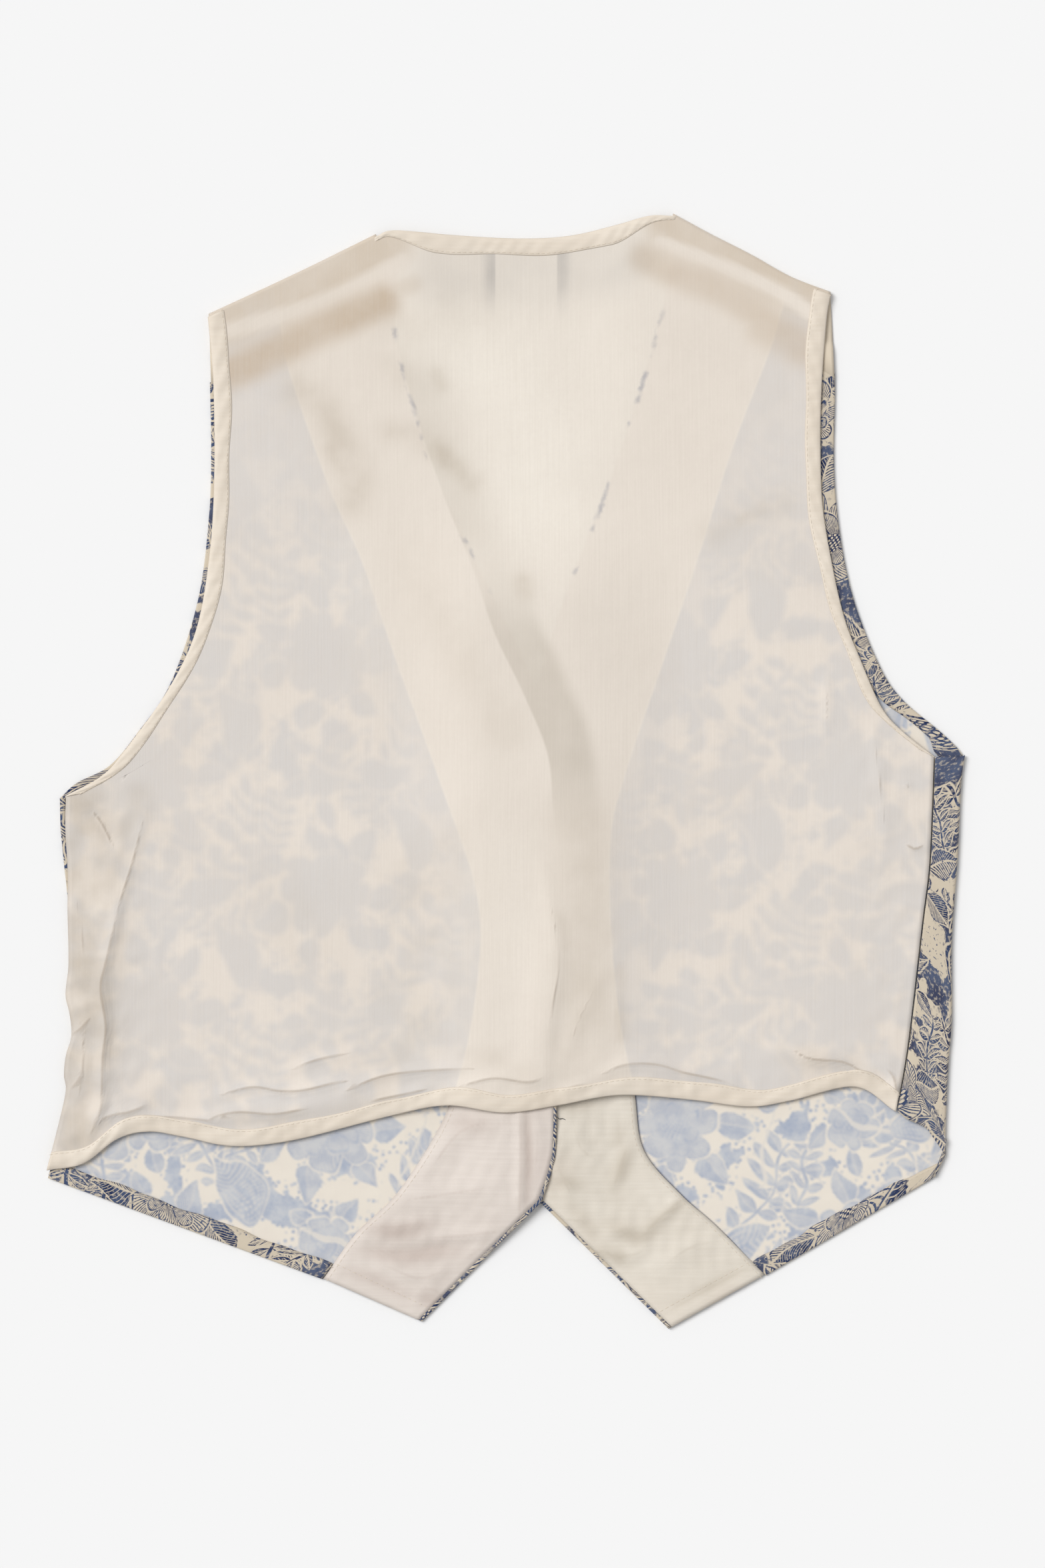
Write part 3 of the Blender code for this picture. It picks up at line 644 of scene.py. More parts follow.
wrapped = right_side[:SIDE_CELLS + 1]
seam = spaced(BACK_SIDE_RIGHT, SIDE_CELLS) + (SEAM_GAP, 0.0)
wrap_high = back_lift(wrapped[:, 0], wrapped[:, 1]) + MIDDLE
around = turned_edge(wrapped, right_outer[:SIDE_CELLS + 1], np.full(len(wrapped), MIDDLE), wrap_high)
across = between(around[:, -1, :2], seam, WRAP_CELLS)[:, 1:]
hem_bow = spaced(SIDE_WRAP_HEM, WRAP_CELLS)[1:] - between(wrapped[:1], seam[:1], WRAP_CELLS)[0, 1:]
across += hem_bow[None] * ease(np.arange(len(wrapped)), 2 * FINE, 0)[:, None, None]
WRAP_CREASES = [
    ([(222, -60), (229, -96)], 4, 0.5),
    ([(214, -160), (228, -128)], 4, 0.6),
    ([(231, -20), (234, -50)], 3, 0.4),
    ([(212, -172), (226, -186)], 3.5, 0.7),
]
wrap_creases = creased(across[..., 0], across[..., 1], WRAP_CREASES)
wrap = np.concatenate([around, with_height(across, back_lift, wrap_creases)], axis=1)
right_sheets = front_sheets(right_edge, right_outer, right_side, right_lift)
right_sheets.append((wrap, unrolled(wrap, unit(wrapped - right_outer[:SIDE_CELLS + 1]))))
front_right = cloth("front_right_cloth", right_sheets, print_wrong, print_right,
                    shadow_line(right_sheets[0][1]))
for piece, node, sheets, below in ((front_left, "front_left", left_sheets, ["floor", "front_right_cloth"]),
                                   (front_right, "front_right", right_sheets, ["floor"])):
    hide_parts(node)
    size, area = cut(sheets)


# The facings
# Bias-cut silk strips that line the V, the front edges and the points, pinkish on the left front and ivory
# on the right. They are slip-stitched to the wrong side and pucker a little along their hems.
FACING_SETBACK = 1.5
SHOULDER_CLEARANCE = 16.5
FACING_CELLS = 24
HEM_STITCH_ROW = 4
CREASE_DEPTH = 1.5
PRESSED_EDGE = 0.45
PUCKER_SIZE, PUCKER_HEIGHT = 6.5, 0.75
FACING_CREASES_LEFT = [
    ([(8, -177.8), (8.6, -205), (7.6, -237.7)], 2.2, 1.1),
    ([(-73, -238), (-58, -239.5), (-40, -236)], 3.6, 0.6),
    ([(-76, -251.3), (-52, -252.6), (-25, -248.5)], 3, -0.6),
    ([(-48, -245.8), (-22.4, -244), (3.2, -240.5)], 2.8, 0.7),
    ([(-36, -205), (-24, -190), (-8, -183)], 5, 0.8),
    ([(-56, -226), (-30, -222), (-4, -218)], 6, 0.7),
    ([(-66, -258), (-46, -266), (-30, -262)], 3.6, 0.7),
    ([(-46, -274), (-38, -272), (-29, -279)], 2.6, 0.6),
    ([(-22, -256), (-14, -252), (-8, -244)], 2.6, 0.5),
    ([(18, -184), (16, -214)], 3, 0.5),
    ([(-93, -258.6), (-67, -270), (-40, -281.8)], 1.8, -0.5),
]
FACING_CREASES_RIGHT = [
    ([(64.4, -197), (61, -207), (57.8, -217.4)], 2.6, 0.9),
    ([(28.7, -235), (43.8, -236.5)], 2.4, 0.7),
    ([(53.9, -242), (69.3, -240.4)], 2.4, 0.7),
    ([(43.8, -253), (56.7, -251.8)], 2.4, 0.6),
    ([(30, -190), (24, -214)], 4, 0.8),
    ([(80, -262), (98, -250), (112, -247)], 5, 0.6),
    ([(72, -245), (81, -235), (93, -225)], 2.6, 0.8),
    ([(50, -251), (60, -255), (74, -252)], 2.8, 0.7),
    ([(22, -205), (30, -212), (36, -226)], 2.8, 0.6),
    ([(36, -182), (40, -198), (52, -206)], 3.4, 0.6),
    ([(80, -286.8), (108, -271.2), (134, -256.6)], 1.8, -0.7),
]
# Painted shade strokes on the facings, where their satin folds fall into shade: line, half width, strength
FACING_SHADES_LEFT = [
    ([(-73, -240), (-56, -242), (-38, -238)], 5, 0.8),
    ([(-78, -251), (-52, -255), (-22, -250)], 4.5, 0.9),
    ([(-88, -262), (-68, -267), (-50, -276)], 4, 0.7),
    ([(-46, -276), (-30, -280)], 4, 0.7),
    ([(11.5, -180), (12.5, -206), (11, -230)], 2.6, 0.9),
    ([(-30, -184), (-6, -186)], 5, 0.6),
]
FACING_SHADES_RIGHT = [
    ([(54, -238), (70, -244.5), (82, -238)], 4.5, 0.8),
    ([(46, -250), (60, -256)], 4, 0.8),
    ([(84, -233), (94, -226)], 2.6, 0.8),
    ([(83, -285), (108, -270.5), (134, -258)], 2.4, 0.7),
    ([(58, -200), (62, -186)], 4, 0.6),
    ([(14, -200), (26, -222)], 3.6, 0.5),
    ([(26, -177), (50, -174)], 4, 0.6),
    ([(63, -194), (62, -206), (57, -218)], 5, 0.85),
    ([(24, -217), (33, -216), (42, -219)], 3.6, 0.7),
    ([(32, -224), (42, -237), (50, -248)], 4.5, 0.6),
    ([(54, -252), (64, -258)], 4.5, 0.9),
    ([(70, -248), (80, -236), (90, -229)], 3.6, 0.7),
]


def facing_sheet(edge, outer, lift, creases):
    inside = edge + unit(outer - edge) * FACING_SETBACK
    length = np.cumsum(np.linalg.norm(np.diff(outer[::-1], axis=0), axis=1))
    rows = len(outer) - int(np.searchsorted(length, SHOULDER_CLEARANCE)) - 1
    plan = between(inside[:rows], outer[:rows], FACING_CELLS)
    pressed = np.linspace(0.0, 1.0, FACING_CELLS + 1)[None, :] * np.ones((rows, 1))
    x, y = plan[..., 0], plan[..., 1]
    wrinkled = crumple(x, y, seed=9, size=PUCKER_SIZE) * ease(y, -120.0, -190.0) * PUCKER_HEIGHT
    height = creased(x, y, creases) * CREASE_DEPTH + wrinkled
    from_hem = np.arange(rows)[:, None] * np.ones(FACING_CELLS + 1)[None, :]
    height = height * (0.35 + 0.65 * ease(from_hem, HEM_STITCH_ROW, HEM_STITCH_ROW + 2))
    hem_ridge = ease(from_hem, 0, 1.5) * ease(from_hem, HEM_STITCH_ROW, HEM_STITCH_ROW - 1.5)
    height = height + PRESSED_EDGE * hem_ridge
    height = height * ease(pressed, 0.0, 0.12) * ease(pressed, 1.0, 0.92)
    height = height + LAYER - PRESSED_EDGE * ease(pressed, 0.9, 1.0)
    return [(with_height(plan, lift, height), plan)]


def shaded(plan, table):
    """How dark the painted shade strokes make each point, from 0 to 1. Each has its line, half width and
    strength.
    """
    added = np.zeros(plan.shape[:-1])
    for line, width, strength in table:
        far, _, along = nearest(plan[..., 0], plan[..., 1], smooth_run(line, 6))
        stroke = strength * np.exp(-((far / width) ** 2)) * (0.3 + 0.7 * np.sin(math.pi * along))
        added = np.maximum(added, stroke)
    return added


def paint_silk(light, dark, warm, painted_shade_tone=None):
    """Plain silk: two close tones in soft clouds, warmer patches here and there, fine slubs, and painted
    shade strokes and fine painted shade lines on the creases.
    """
    def paint(start):
        place = start.place()
        clouds, yarns = place.noise(22.0, 3.0), place.stretched(30.0, 700.0).noise(1.0)
        colour = (clouds * 0.75 + yarns * 0.4).ease(0.3, 0.85).mix(srgb(*light), srgb(*dark))
        colour = (place.noise(9.0).ease(0.55, 0.75) * 0.6).mix(colour, srgb(*warm))
        if painted_shade_tone:
            # painted shade: the shade strokes and the creases' fine lines in a darker tone
            colour = (start.attribute("shade") * (clouds * 0.8 + 0.4)).mix(colour, srgb(*painted_shade_tone))
            colour = (start.crease(1.4) * 0.22).mix(colour, srgb(*painted_shade_tone))
        return colour, weave(start, 0.42, 0.018) + yarns * 0.05, clouds * 0.3 + 0.35
    return paint


# Each side's tones are light, dark, warm and, last, the colour of its painted shade
FACINGS = (
    ("left", left_edge, left_outer, left_lift, FACING_CREASES_LEFT, FACING_SHADES_LEFT,
     ((226, 216, 207), (214, 203, 194), (219, 202, 194), (192, 176, 166))),
    ("right", right_edge, right_outer, right_lift, FACING_CREASES_RIGHT, FACING_SHADES_RIGHT,
     ((229, 221, 208), (217, 208, 194), (223, 208, 192), (191, 180, 163))),
)
facing_grids = []
for side, edge, outer, lift, creases, shades, tones in FACINGS:
    sheets = facing_sheet(edge, outer, lift, creases)
    facing_grids.append(sheets[0][0])
    plan = sheets[0][1]
    painted = {"shade": shaded(plan, shades), **crease_lines(plan[..., 0], plan[..., 1], creases)}
    silk = finish(f"{side}_facing_silk_cloth", paint_silk(*tones), 0.42, sheen=0.12)
    piece = cloth(f"facing_{side}_silk", sheets, silk, silk, painted)
    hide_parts("facing_" + side)
    side + "_facing_silk"
    size, area = cut(sheets)


# The hem turn-ups and armhole turn-ins
# The print turned over on the wrong side, 9 mm along the hems and 9.5 mm round the armholes, so that its
# right side shows. The raw edge is folded under and machined down.
HEM_WIDTH = 9.0
TURNIN_WIDTH = 9.5
TURN_CELLS = 5
UNDERARM_NARROWING = 3.6


def turned_band(edge, inner, lift, width):
    """A band of cloth turned over an edge: the fold, then flat to its inner edge, waved by the pressing."""
    outward = unit(edge - inner)
    low = lift(edge[:, 0], edge[:, 1]) + MIDDLE
    fold = turned_edge(edge - outward * GAP, inner, low, low + LAYER)
    along = np.arange(len(edge)) / len(edge) * math.tau
    widths = width + 0.5 * np.sin(along * 3.0 + 0.6) + 0.3 * np.sin(along * 7.0)
    if width == TURNIN_WIDTH:
        widths = widths - UNDERARM_NARROWING * ease(along, 0.2, 0.5) * ease(along, 1.5, 0.9)
    flat = between(edge - outward * GAP, edge - outward * widths[:, None], TURN_CELLS)[:, 1:]
    rise = LAYER + 0.25 * np.sin(along * 5.0)[:, None] * np.linspace(0.2, 1.0, TURN_CELLS)[None, :]
    rise[:, -1] -= PRESSED_EDGE
    band = np.concatenate([fold, with_height(flat, lift, rise)], axis=1)
    return [(band, unrolled(band, outward))]


def hem_lines(outer, side):
    """The front's hem from its facing to its side, and a line inside it."""
    start = outer[:1] + unit(side[:1] - outer[:1]) * GAP
    inner = between(outer[FINE:FINE + 1], side[FINE:FINE + 1], FRONT_BODY_CELLS)
    return between(start, side[:1], FRONT_BODY_CELLS)[0], inner[0]


armhole_rows = slice(SIDE_CELLS, -FINE)
TURNED = (
    ("hem_turnup_left", *hem_lines(left_outer, left_side), left_lift, HEM_WIDTH),
    ("hem_turnup_right", *hem_lines(right_outer, right_side), right_lift, HEM_WIDTH),
    ("armhole_turnin_left", left_side[armhole_rows], left_outer[armhole_rows], left_lift, TURNIN_WIDTH),
    ("armhole_turnin_right", right_side[armhole_rows], right_outer[armhole_rows], right_lift, TURNIN_WIDTH),
)
turned_grids = []
for node, edge, inner, lift, width in TURNED:
    sheets = turned_band(edge, inner, lift, width)
    turned_grids.append(sheets[0][0])
    piece = cloth(node + "_print", sheets, print_wrong, print_right)
    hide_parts(node)
    "front_left_cloth" if "left" in node else "front_right_cloth"


# The back
# One panel of thin cream silk, cut in one with nothing lining it. It rolls over at the shoulders to seams
# that lie under it, and what lies below shows through: facings, prints, seam allowances, label and stains.
# Its colour also holds painted shade and painted highlights on the folds, creases and shoulders.
BACK_SIDE_LEFT = [(-240, -209), (-234.4, -187), (-230.2, -168), (-231.2, -160), (-230.2, -149.5),
                  (-227.2, -138.6), (-228.4, -126.7), (-230.4, -117.3), (-228.8, -101.2), (-229.3, -74.2),
                  (-229.2, -54.3), (-230.4, -30), (-230, -13.5)]
BACK_ARMHOLE_LEFT = [(-230, -13.5), (-211, -3), (-199, 10), (-175, 44), (-160.7, 75.6), (-153.7, 117.6),
                     (-151.6, 160), (-152.2, 205), (-155.2, 240)]
BACK_ARMHOLE_RIGHT = [(225.2, 7.2), (208.3, 20.7), (197.1, 33.6), (185.9, 59.2), (177.8, 80.2),
                      (171.5, 107.5), (166.3, 139.7), (165.2, 174.7), (166, 205), (168.5, 238),
                      (171, 251.5)]
BACK_HEM = [(-240, -209), (-221, -205.5), (-203, -192.5), (-186.6, -188.7), (-168, -191.5), (-142, -196.3),
            (-110, -193), (-60, -180.5), (-30, -174.8), (0, -178.5), (28, -174.7), (60, -169.4),
            (97, -171.9), (128, -175.6), (150, -172.5), (184, -165.2), (205.3, -178.2)]
SHOULDER_LEFT = [(-155.2, 240), (-110, 261), (-67.6, 281.8)]
NECK = [(-67.6, 281.8), (-58, 283), (-28.7, 280.4), (8, 278.6), (34, 280), (58, 285.4), (76, 290.6),
        (88.5, 292.6)]
SHOULDER_RIGHT = [(88.5, 292.6), (107.8, 282.1), (129, 271.3), (150, 259.6), (171, 251.5)]
SHOULDER_SEAM_LEFT = [(-154.4, 215.6), (-56.4, 251.7)]
SHOULDER_SEAM_RIGHT = [(86.3, 266), (135, 242.2), (172.6, 219)]
SHOULDER_UNDERSIDE = [(15, 0), (6, 0), (1.5, 1), (-13, 1)]
BACK_SHOULDER_CELLS, BACK_NECK_CELLS = 50, 84
BACK_SIDE_CELLS, BACK_ARMHOLE_CELLS = 80, 118
MADE_LONGER = 90.0
BACK_CREASES = [
    ([(-187.3, -16.5), (-190.8, -31.2), (-195.3, -48.7), (-200.9, -66.2), (-206.2, -85)], 2.6, 0.5),
    ([(-203, -74), (-209, -100.8), (-211.8, -113.1), (-209.7, -127.8), (-209, -135.8), (-210.7, -151.9),
      (-211.1, -168), (-212.1, -178.9), (-218, -192)], 2.5, 1.3),
    ([(-218, -19.3), (-211.4, -27.3), (-204.8, -40.6)], 2.4, -0.8),
    ([(-215.6, -184.1), (-204.8, -180.3), (-196.7, -178.9), (-187.3, -175)], 2.4, 1),
    ([(-194, -183), (-178.9, -181.5), (-160, -183), (-146, -184)], 2.4, 0.8),
    ([(-157, -183), (-140.7, -179), (-120.4, -180), (-102.6, -176.5)], 2.4, 0.8),
    ([(-151.9, -170.8), (-132.7, -165.9), (-117.6, -168), (-104, -167.3), (-85, -162.8),
      (-78, -165.2)], 2.2, 0.8),
    ([(-114.8, -157.9), (-98.7, -151.6), (-78, -147)], 2.2, 0.6),
    ([(-83.7, -168), (-64.8, -160.4), (-42.7, -157.3), (-16, -156)], 2.4, 0.9),
    ([(-72, -173.4), (-56.4, -170.4), (-40, -166.8)], 2.2, 0.8),
    ([(-24, -165.4), (-6, -161), (11.6, -163), (22, -160)], 2.8, 0.8),
    ([(50.1, -159.3), (63, -154), (79.8, -154), (92.8, -157.9), (107.1, -161), (122.5, -165)], 2.4, 1),
    ([(28, -168), (36, -165.4), (46, -163.4)], 2.2, 0.6),
    ([(149.8, -145.6), (160, -150.9), (177.1, -152.6), (187.3, -157.9), (193.9, -163.1)], 2.4, 1.2),
    ([(198.8, -155.4), (204, -160.7), (206, -172.2)], 2.4, 0.7),
    ([(20, -166), (24, -130), (28, -96), (20, -48)], 3.6, 0.42),
    ([(30, -156), (40, -128), (54, -102.9)], 3.6, 0.3),
    ([(169, 49.7), (169, 19.6)], 2.6, 0.32),
    ([(193.2, 23.5), (197, -8), (200.2, -38.5)], 2.6, 0.42),
    ([(210, -38), (215, -41), (220, -39)], 2.2, 0.7),
    ([(209, -6), (213.2, -9.4)], 2.2, 0.5),
    ([(-222, -120), (-221, -150), (-224, -178)], 3, 0.5),
    ([(-226, -60), (-222, -84), (-219, -110)], 3, 0.4),
    ([(-227.6, -139), (-222, -135), (-217, -129)], 2.4, 0.7),
    ([(-229, -168), (-224, -163), (-220, -155)], 2.4, 0.6),
]


def coons(bottom, top, left, right):
    """Plan points between four runs that meet at their ends."""
    v = np.linspace(0.0, 1.0, len(left))[:, None, None]
    u = np.linspace(0.0, 1.0, len(bottom))[None, :, None]
    ruled = (1 - v) * bottom[None] + v * top[None] + (1 - u) * left[:, None] + u * right[:, None]
    low_corners = (1 - u) * (1 - v) * bottom[0] + u * (1 - v) * bottom[-1]
    return ruled - (low_corners + (1 - u) * v * top[0] + u * v * top[-1])


def rolled_in(shoulder, seam_knots, cells):
    """The line where the shoulder's roll begins, inside the outline by the roll's own reach."""
    line = spaced(shoulder, cells)
    goal = spaced(seam_knots, cells)
    return line + unit(goal - line) * ROLL


top_left = rolled_in(SHOULDER_LEFT, SHOULDER_SEAM_LEFT, BACK_SHOULDER_CELLS)
top_right = rolled_in(SHOULDER_RIGHT, SHOULDER_SEAM_RIGHT, BACK_SHOULDER_CELLS)
neck_line = spaced([top_left[-1], *NECK[1:-1], top_right[0]], BACK_NECK_CELLS)
back_top = joined(top_left, neck_line, top_right)
back_left = joined(spaced(BACK_SIDE_LEFT, BACK_SIDE_CELLS), spaced(BACK_ARMHOLE_LEFT, BACK_ARMHOLE_CELLS))
back_right = joined(spaced(BACK_SIDE_RIGHT, BACK_SIDE_CELLS), spaced(BACK_ARMHOLE_RIGHT, BACK_ARMHOLE_CELLS))
back_left[-1], back_right[-1] = back_top[0], back_top[-1]
back_hem = spaced(BACK_HEM, 2 * BACK_SHOULDER_CELLS + BACK_NECK_CELLS)
back_plan = coons(back_hem, back_top, back_left, back_right)
back_x, back_y = back_plan[..., 0], back_plan[..., 1]


def back_height(x, y):
    """The back's middle surface above the floor, less half a cloth, with its fine creases."""
    near_hem = ease(y, -120.0, -165.0) * 0.3 + ease(y, -40.0, -110.0) * ease(x, -170.0, -215.0) * 0.3
    loose = 0.1 + near_hem + 0.4 * ease(y, 20.0, -10.0) * ease(np.abs(x), 175.0, 205.0)
    wrinkled = crumple(x, y, seed=4, size=10.0) * loose
    return back_lift(x, y) + creased(x, y, BACK_CREASES) * CREASE_DEPTH + wrinkled


def signed(line, left_is_positive):
    """Distance of the back's points from a line, positive to one side of it, with the line made longer."""
    run = smooth_run(line)
    before = run[0] + unit(run[0] - run[1]) * MADE_LONGER
    after = run[-1] + unit(run[-1] - run[-2]) * MADE_LONGER
    run = np.vstack([before, run, after])
    far, side, _ = nearest(back_x, back_y, run)
    return far * side * (1.0 if left_is_positive else -1.0)


def strokes(table, edge=2):
    """Strokes on the back: each has its line, half width and strength. A higher edge makes crisper rims."""
    added = np.zeros(back_x.shape)
    for line, width, strength in table:
        far, _, _ = nearest(back_x, back_y, smooth_run(line, 6))
        added = np.maximum(added, strength * np.exp(-((far / width) ** edge)))
    return added


# Stains, and painted shade where the silk sags over openings and along folds: line, half width, strength
STAINS_AND_SHADE = [
    ([(-107.5, 199.9), (-97.7, 194.6), (-79.8, 160), (-78.8, 143.2)], 9, 0.42),
    ([(-90, 170), (-80, 148)], 6, 0.42),
    ([(-59.2, 178.2), (-41, 172.2), (-17.5, 152.3)], 6.5, 0.34),
    ([(-38, 170), (-22, 156)], 6, 0.5),
    ([(-35.7, 208), (-33, 202)], 4.5, 0.22),
    ([(-64, 216), (-54, 206)], 9, 0.18),
    ([(9.8, 99), (10.5, 94)], 5, 0.42),
    ([(30, -76), (33, -92)], 6, 0.3),
    ([(109.9, 124.6), (127.4, 132.3), (144.9, 139.7)], 8, 0.2),
    ([(124, 131), (136, 138)], 4.5, 0.42),
    ([(-66, 234), (-12, 240)], 15, 0.16),
    ([(-46, 106), (-22, 62), (-2, 22)], 17, 0.16),
    ([(-36, -48), (-46, -150)], 24, 0.24),
    ([(40, -30), (44, -90), (40, -152)], 17, 0.3),
    ([(60, -104), (61, -140)], 4, 0.3),
    ([(-192, -14), (-201, -34)], 7, 0.35),
    ([(-194, -34), (-204, -80)], 5, 0.22),
    ([(-222, -20), (-220, -110), (-224, -190)], 20, 0.56),
    ([(-150, -184), (-100, -181), (-60, -170)], 5, 0.22),
    ([(-20, -150), (0, -153), (14, -160)], 7, 0.24),
    ([(150, -150), (178, -156)], 7, 0.3),
    ([(-115, -70), (-100, -90)], 22, 0.14),
]
# A painted shadow at the neck, above and round the label: line, half width, strength
NECK_SHADOWS = [
    ([(-34, 262), (8, 262), (58, 268)], 19, 0.24),
]
SEAM_BANDS = [
    ([(-149, 206), (-132, 214.2), (-93, 233.2), (-64, 246)], 9.6, 1),
    ([(-62, 250), (-48, 255)], 5, 0.4),
    ([(73.5, 268.8), (94, 259), (115.9, 249.7), (134.4, 238.3), (147, 229)], 8.6, 0.64),
    ([(137, 233), (157, 222)], 11, 0.66),
]
# Painted highlights of the silk's sheen along the shoulder rolls, over the doubled silk there: line, half
# width, strength
SHOULDER_HIGHLIGHTS = [
    ([(-143, 231), (-93, 246.8), (-54, 266.7)], 4.6, 0.8),
    ([(82, 276.5), (115.8, 264), (143.9, 251), (160.7, 239.7)], 4.2, 1),
]
LABEL_SHOWS = (11.4, 16.1)
SHADE_EDGE = [(25.5, -20), (22.5, 9), (9.8, 40.6), (-5.2, 72.1), (-15.7, 103.6), (-31, 142), (-44.8, 182),
              (-56.6, 226), (-56.4, 251.7)]
LIGHT_PATCHES = [
    ([(-16, 222), (10, 190), (14, 140)], 30, 1),
    ([(11, 266), (12, 242)], 12, 0.35),
    ([(4, -46), (4, -80)], 20, 0.8),
    ([(6, -50), (4, -130)], 22, 0.5),
    ([(-58, 30), (-84, 110)], 13, 0.25),
]
vee_inside = np.minimum(signed(VEE_LEFT, False), signed(VEE_RIGHT, True))
facing_inside = np.minimum(signed(OUTER_LEFT, False), signed(OUTER_RIGHT, True))
# How far each point lies from the shoulder rolls, for their darker band: doubled silk and painted shade of
# the roll
fold_near = np.minimum(nearest(back_x, back_y, top_left)[0], nearest(back_x, back_y, top_right)[0] + 4.0)
# Painted shadow of the fold inside the V: soft above, deep with a crisp edge below
from_shade_edge = signed(SHADE_EDGE, False)
soft_shade = 0.25 * ease(from_shade_edge, 32.0, 2.0) * ease(back_y, 238.0, 200.0)
soft_shade = soft_shade * (1.0 - 0.4 * ease(back_y, 128.0, 108.0))
deep_shade = 0.45 * ease(from_shade_edge, 28.0, 19.0) * ease(back_y, -42.0, 12.0)
below = ease(back_y, 104.0, 62.0)
painted = {
    **crease_lines(back_x, back_y, BACK_CREASES),
    "vee": vee_inside,
    "shade_edge": from_shade_edge,
    "vee_shade": soft_shade * (1.0 - below) + deep_shade * below,
    "facing": facing_inside,
    "fold": fold_near,
    "stain_and_shade": strokes(STAINS_AND_SHADE),
    "grey": strokes(NECK_SHADOWS, 3),
    "seam": strokes(SEAM_BANDS, 3),
    "shoulder_highlight": strokes(SHOULDER_HIGHLIGHTS, 5),
    "light": strokes(LIGHT_PATCHES),
}


def paint_back(start):
    """Cream silk over what lies below it, as layers of colour, the first at the bottom.

    They are the facings' edges with a painted highlight along them, the print's ghost, the V's dashes, the
    rolled shoulders with painted shade and painted highlights and their seams, the painted shadow inside the
    V, the stains and painted shade patches, the label's sides and a grey patch at the neck as painted
    shadow, and the creases' fine lines of painted shade.
    """
    place = start.place()
    across, along = (part * 1000.0 for part in place.apart())
    clouds, grain = place.noise(14.0, 3.0), place.noise(420.0)
    streaks = place.stretched(900.0, 26.0).noise(1.0)
    blotches = place.noise(48.0, 3.0).ease(0.25, 0.75)
    vee, facing = start.attribute("vee"), start.attribute("facing")
    over_print, over_facing = facing.ease(0.9, -0.9), vee.ease(1.2, -1.2)
    veil = along.ease(76.0, 180.0).most(facing.ease(-26.0, -4.0) * 0.75) * 0.8
    ghost = veil.over(print_ink(start, 0.9, 0.15, 1.9), 0.5) * over_print
    dashes = place.noise(105.0, 1.0).ease(0.5, 0.7) * (vee + 0.4 + (grain - 0.5) * 2.4).size().ease(2.2, 0.0)
    dashes = dashes * along.ease(84.0, 112.0) * along.ease(252.0, 226.0)
    # painted shadow of the fold inside the V
    in_vee = start.attribute("shade_edge").ease(-0.9, 0.9) * start.attribute("vee_shade")
    # painted shadow: the label's two sides, with the grey patch at the neck
    from_label = (across - LABEL_SHOWS[0]).size() - LABEL_SHOWS[1]
    beside = from_label.ease(-0.5, 0.8) * from_label.ease(9.0, 2.0) * along.ease(234.0, 264.0)
    grey = (start.attribute("grey") + beside * 0.55).least(1.0)
    colour = over_facing.mix(srgb(233, 224, 212), srgb(231, 221, 209))
    for amount, tone in (
        (over_print, (231, 221, 210)),
        # painted highlight: a light line along the facings' edges below
        (facing.size().ease(1.6, 0.2) * 0.3, (238, 229, 217)),
        ((ghost * 1.25).least(1.0), (210, 206, 203)),
        (start.attribute("light") * over_facing.over(1.0, 0.5), (239, 231, 219)),
        (dashes * 0.62, (140, 144, 158)),
        # the shoulder rolls' band: doubled silk and painted shade of the roll
        (start.attribute("fold").ease(26.0, 12.0) * (blotches * 0.35 + 0.7), (209, 194, 175)),
        # painted highlight of the silk's sheen along the shoulders, over doubled silk
        (start.attribute("shoulder_highlight") * 0.95, (233, 223, 211)),
        (start.attribute("seam") * (blotches * 0.25 + 0.75), (197, 177, 153)),
        (in_vee * (blotches * 0.3 + 0.85), (176, 166, 150)),
        # stains and painted shade
        (start.attribute("stain_and_shade") * (blotches * 0.8 + 0.35), (182, 168, 148)),
        (grey * (blotches * 0.4 + 0.6), (166, 162, 158)),
        # painted shade: a fine dark line along each crease
        (start.crease(1.1) * (blotches * 0.3 + 0.45), (168, 154, 138)),
        ((clouds * 0.6 + streaks * 0.3 + grain * 0.2).ease(0.3, 0.9) * 0.45, (214, 203, 191)),
    ):
        colour = amount.mix(colour, srgb(*tone))
    return colour, weave(start, 0.42, 0.02) + streaks * 0.05 + start.crease(2.2) * 0.3, clouds * 0.25 + 0.4


# The back's underside, seen where it rolls under at the shoulders: darker tones than the upper side, as
# painted shade
def paint_back_under_shaded(start):
    clouds = start.place().noise(14.0, 3.0)
    return clouds.mix(srgb(228, 215, 195), srgb(215, 200, 177)), weave(start, 0.42, 0.02), None


def shoulder_sheet(edge, seam_knots):
    """The roll over one shoulder, the run below it to the seam, and its allowance over the front."""
    seam_run = spaced(seam_knots, len(edge) - 1)
    low = np.full(len(edge), MIDDLE)
    around = turned_edge(edge[:, :2], seam_run, low, edge[:, 2])[:, ::-1]
    inward = unit(seam_run - edge[:, :2])
    rows = [around]
    for before_seam, layer in SHOULDER_UNDERSIDE:
        plan = seam_run - inward * before_seam
        rows.append(np.column_stack([plan, low + layer * LAYER])[:, None, :])
    strip = np.concatenate(rows, axis=1)
    return strip, unrolled(strip, -inward)


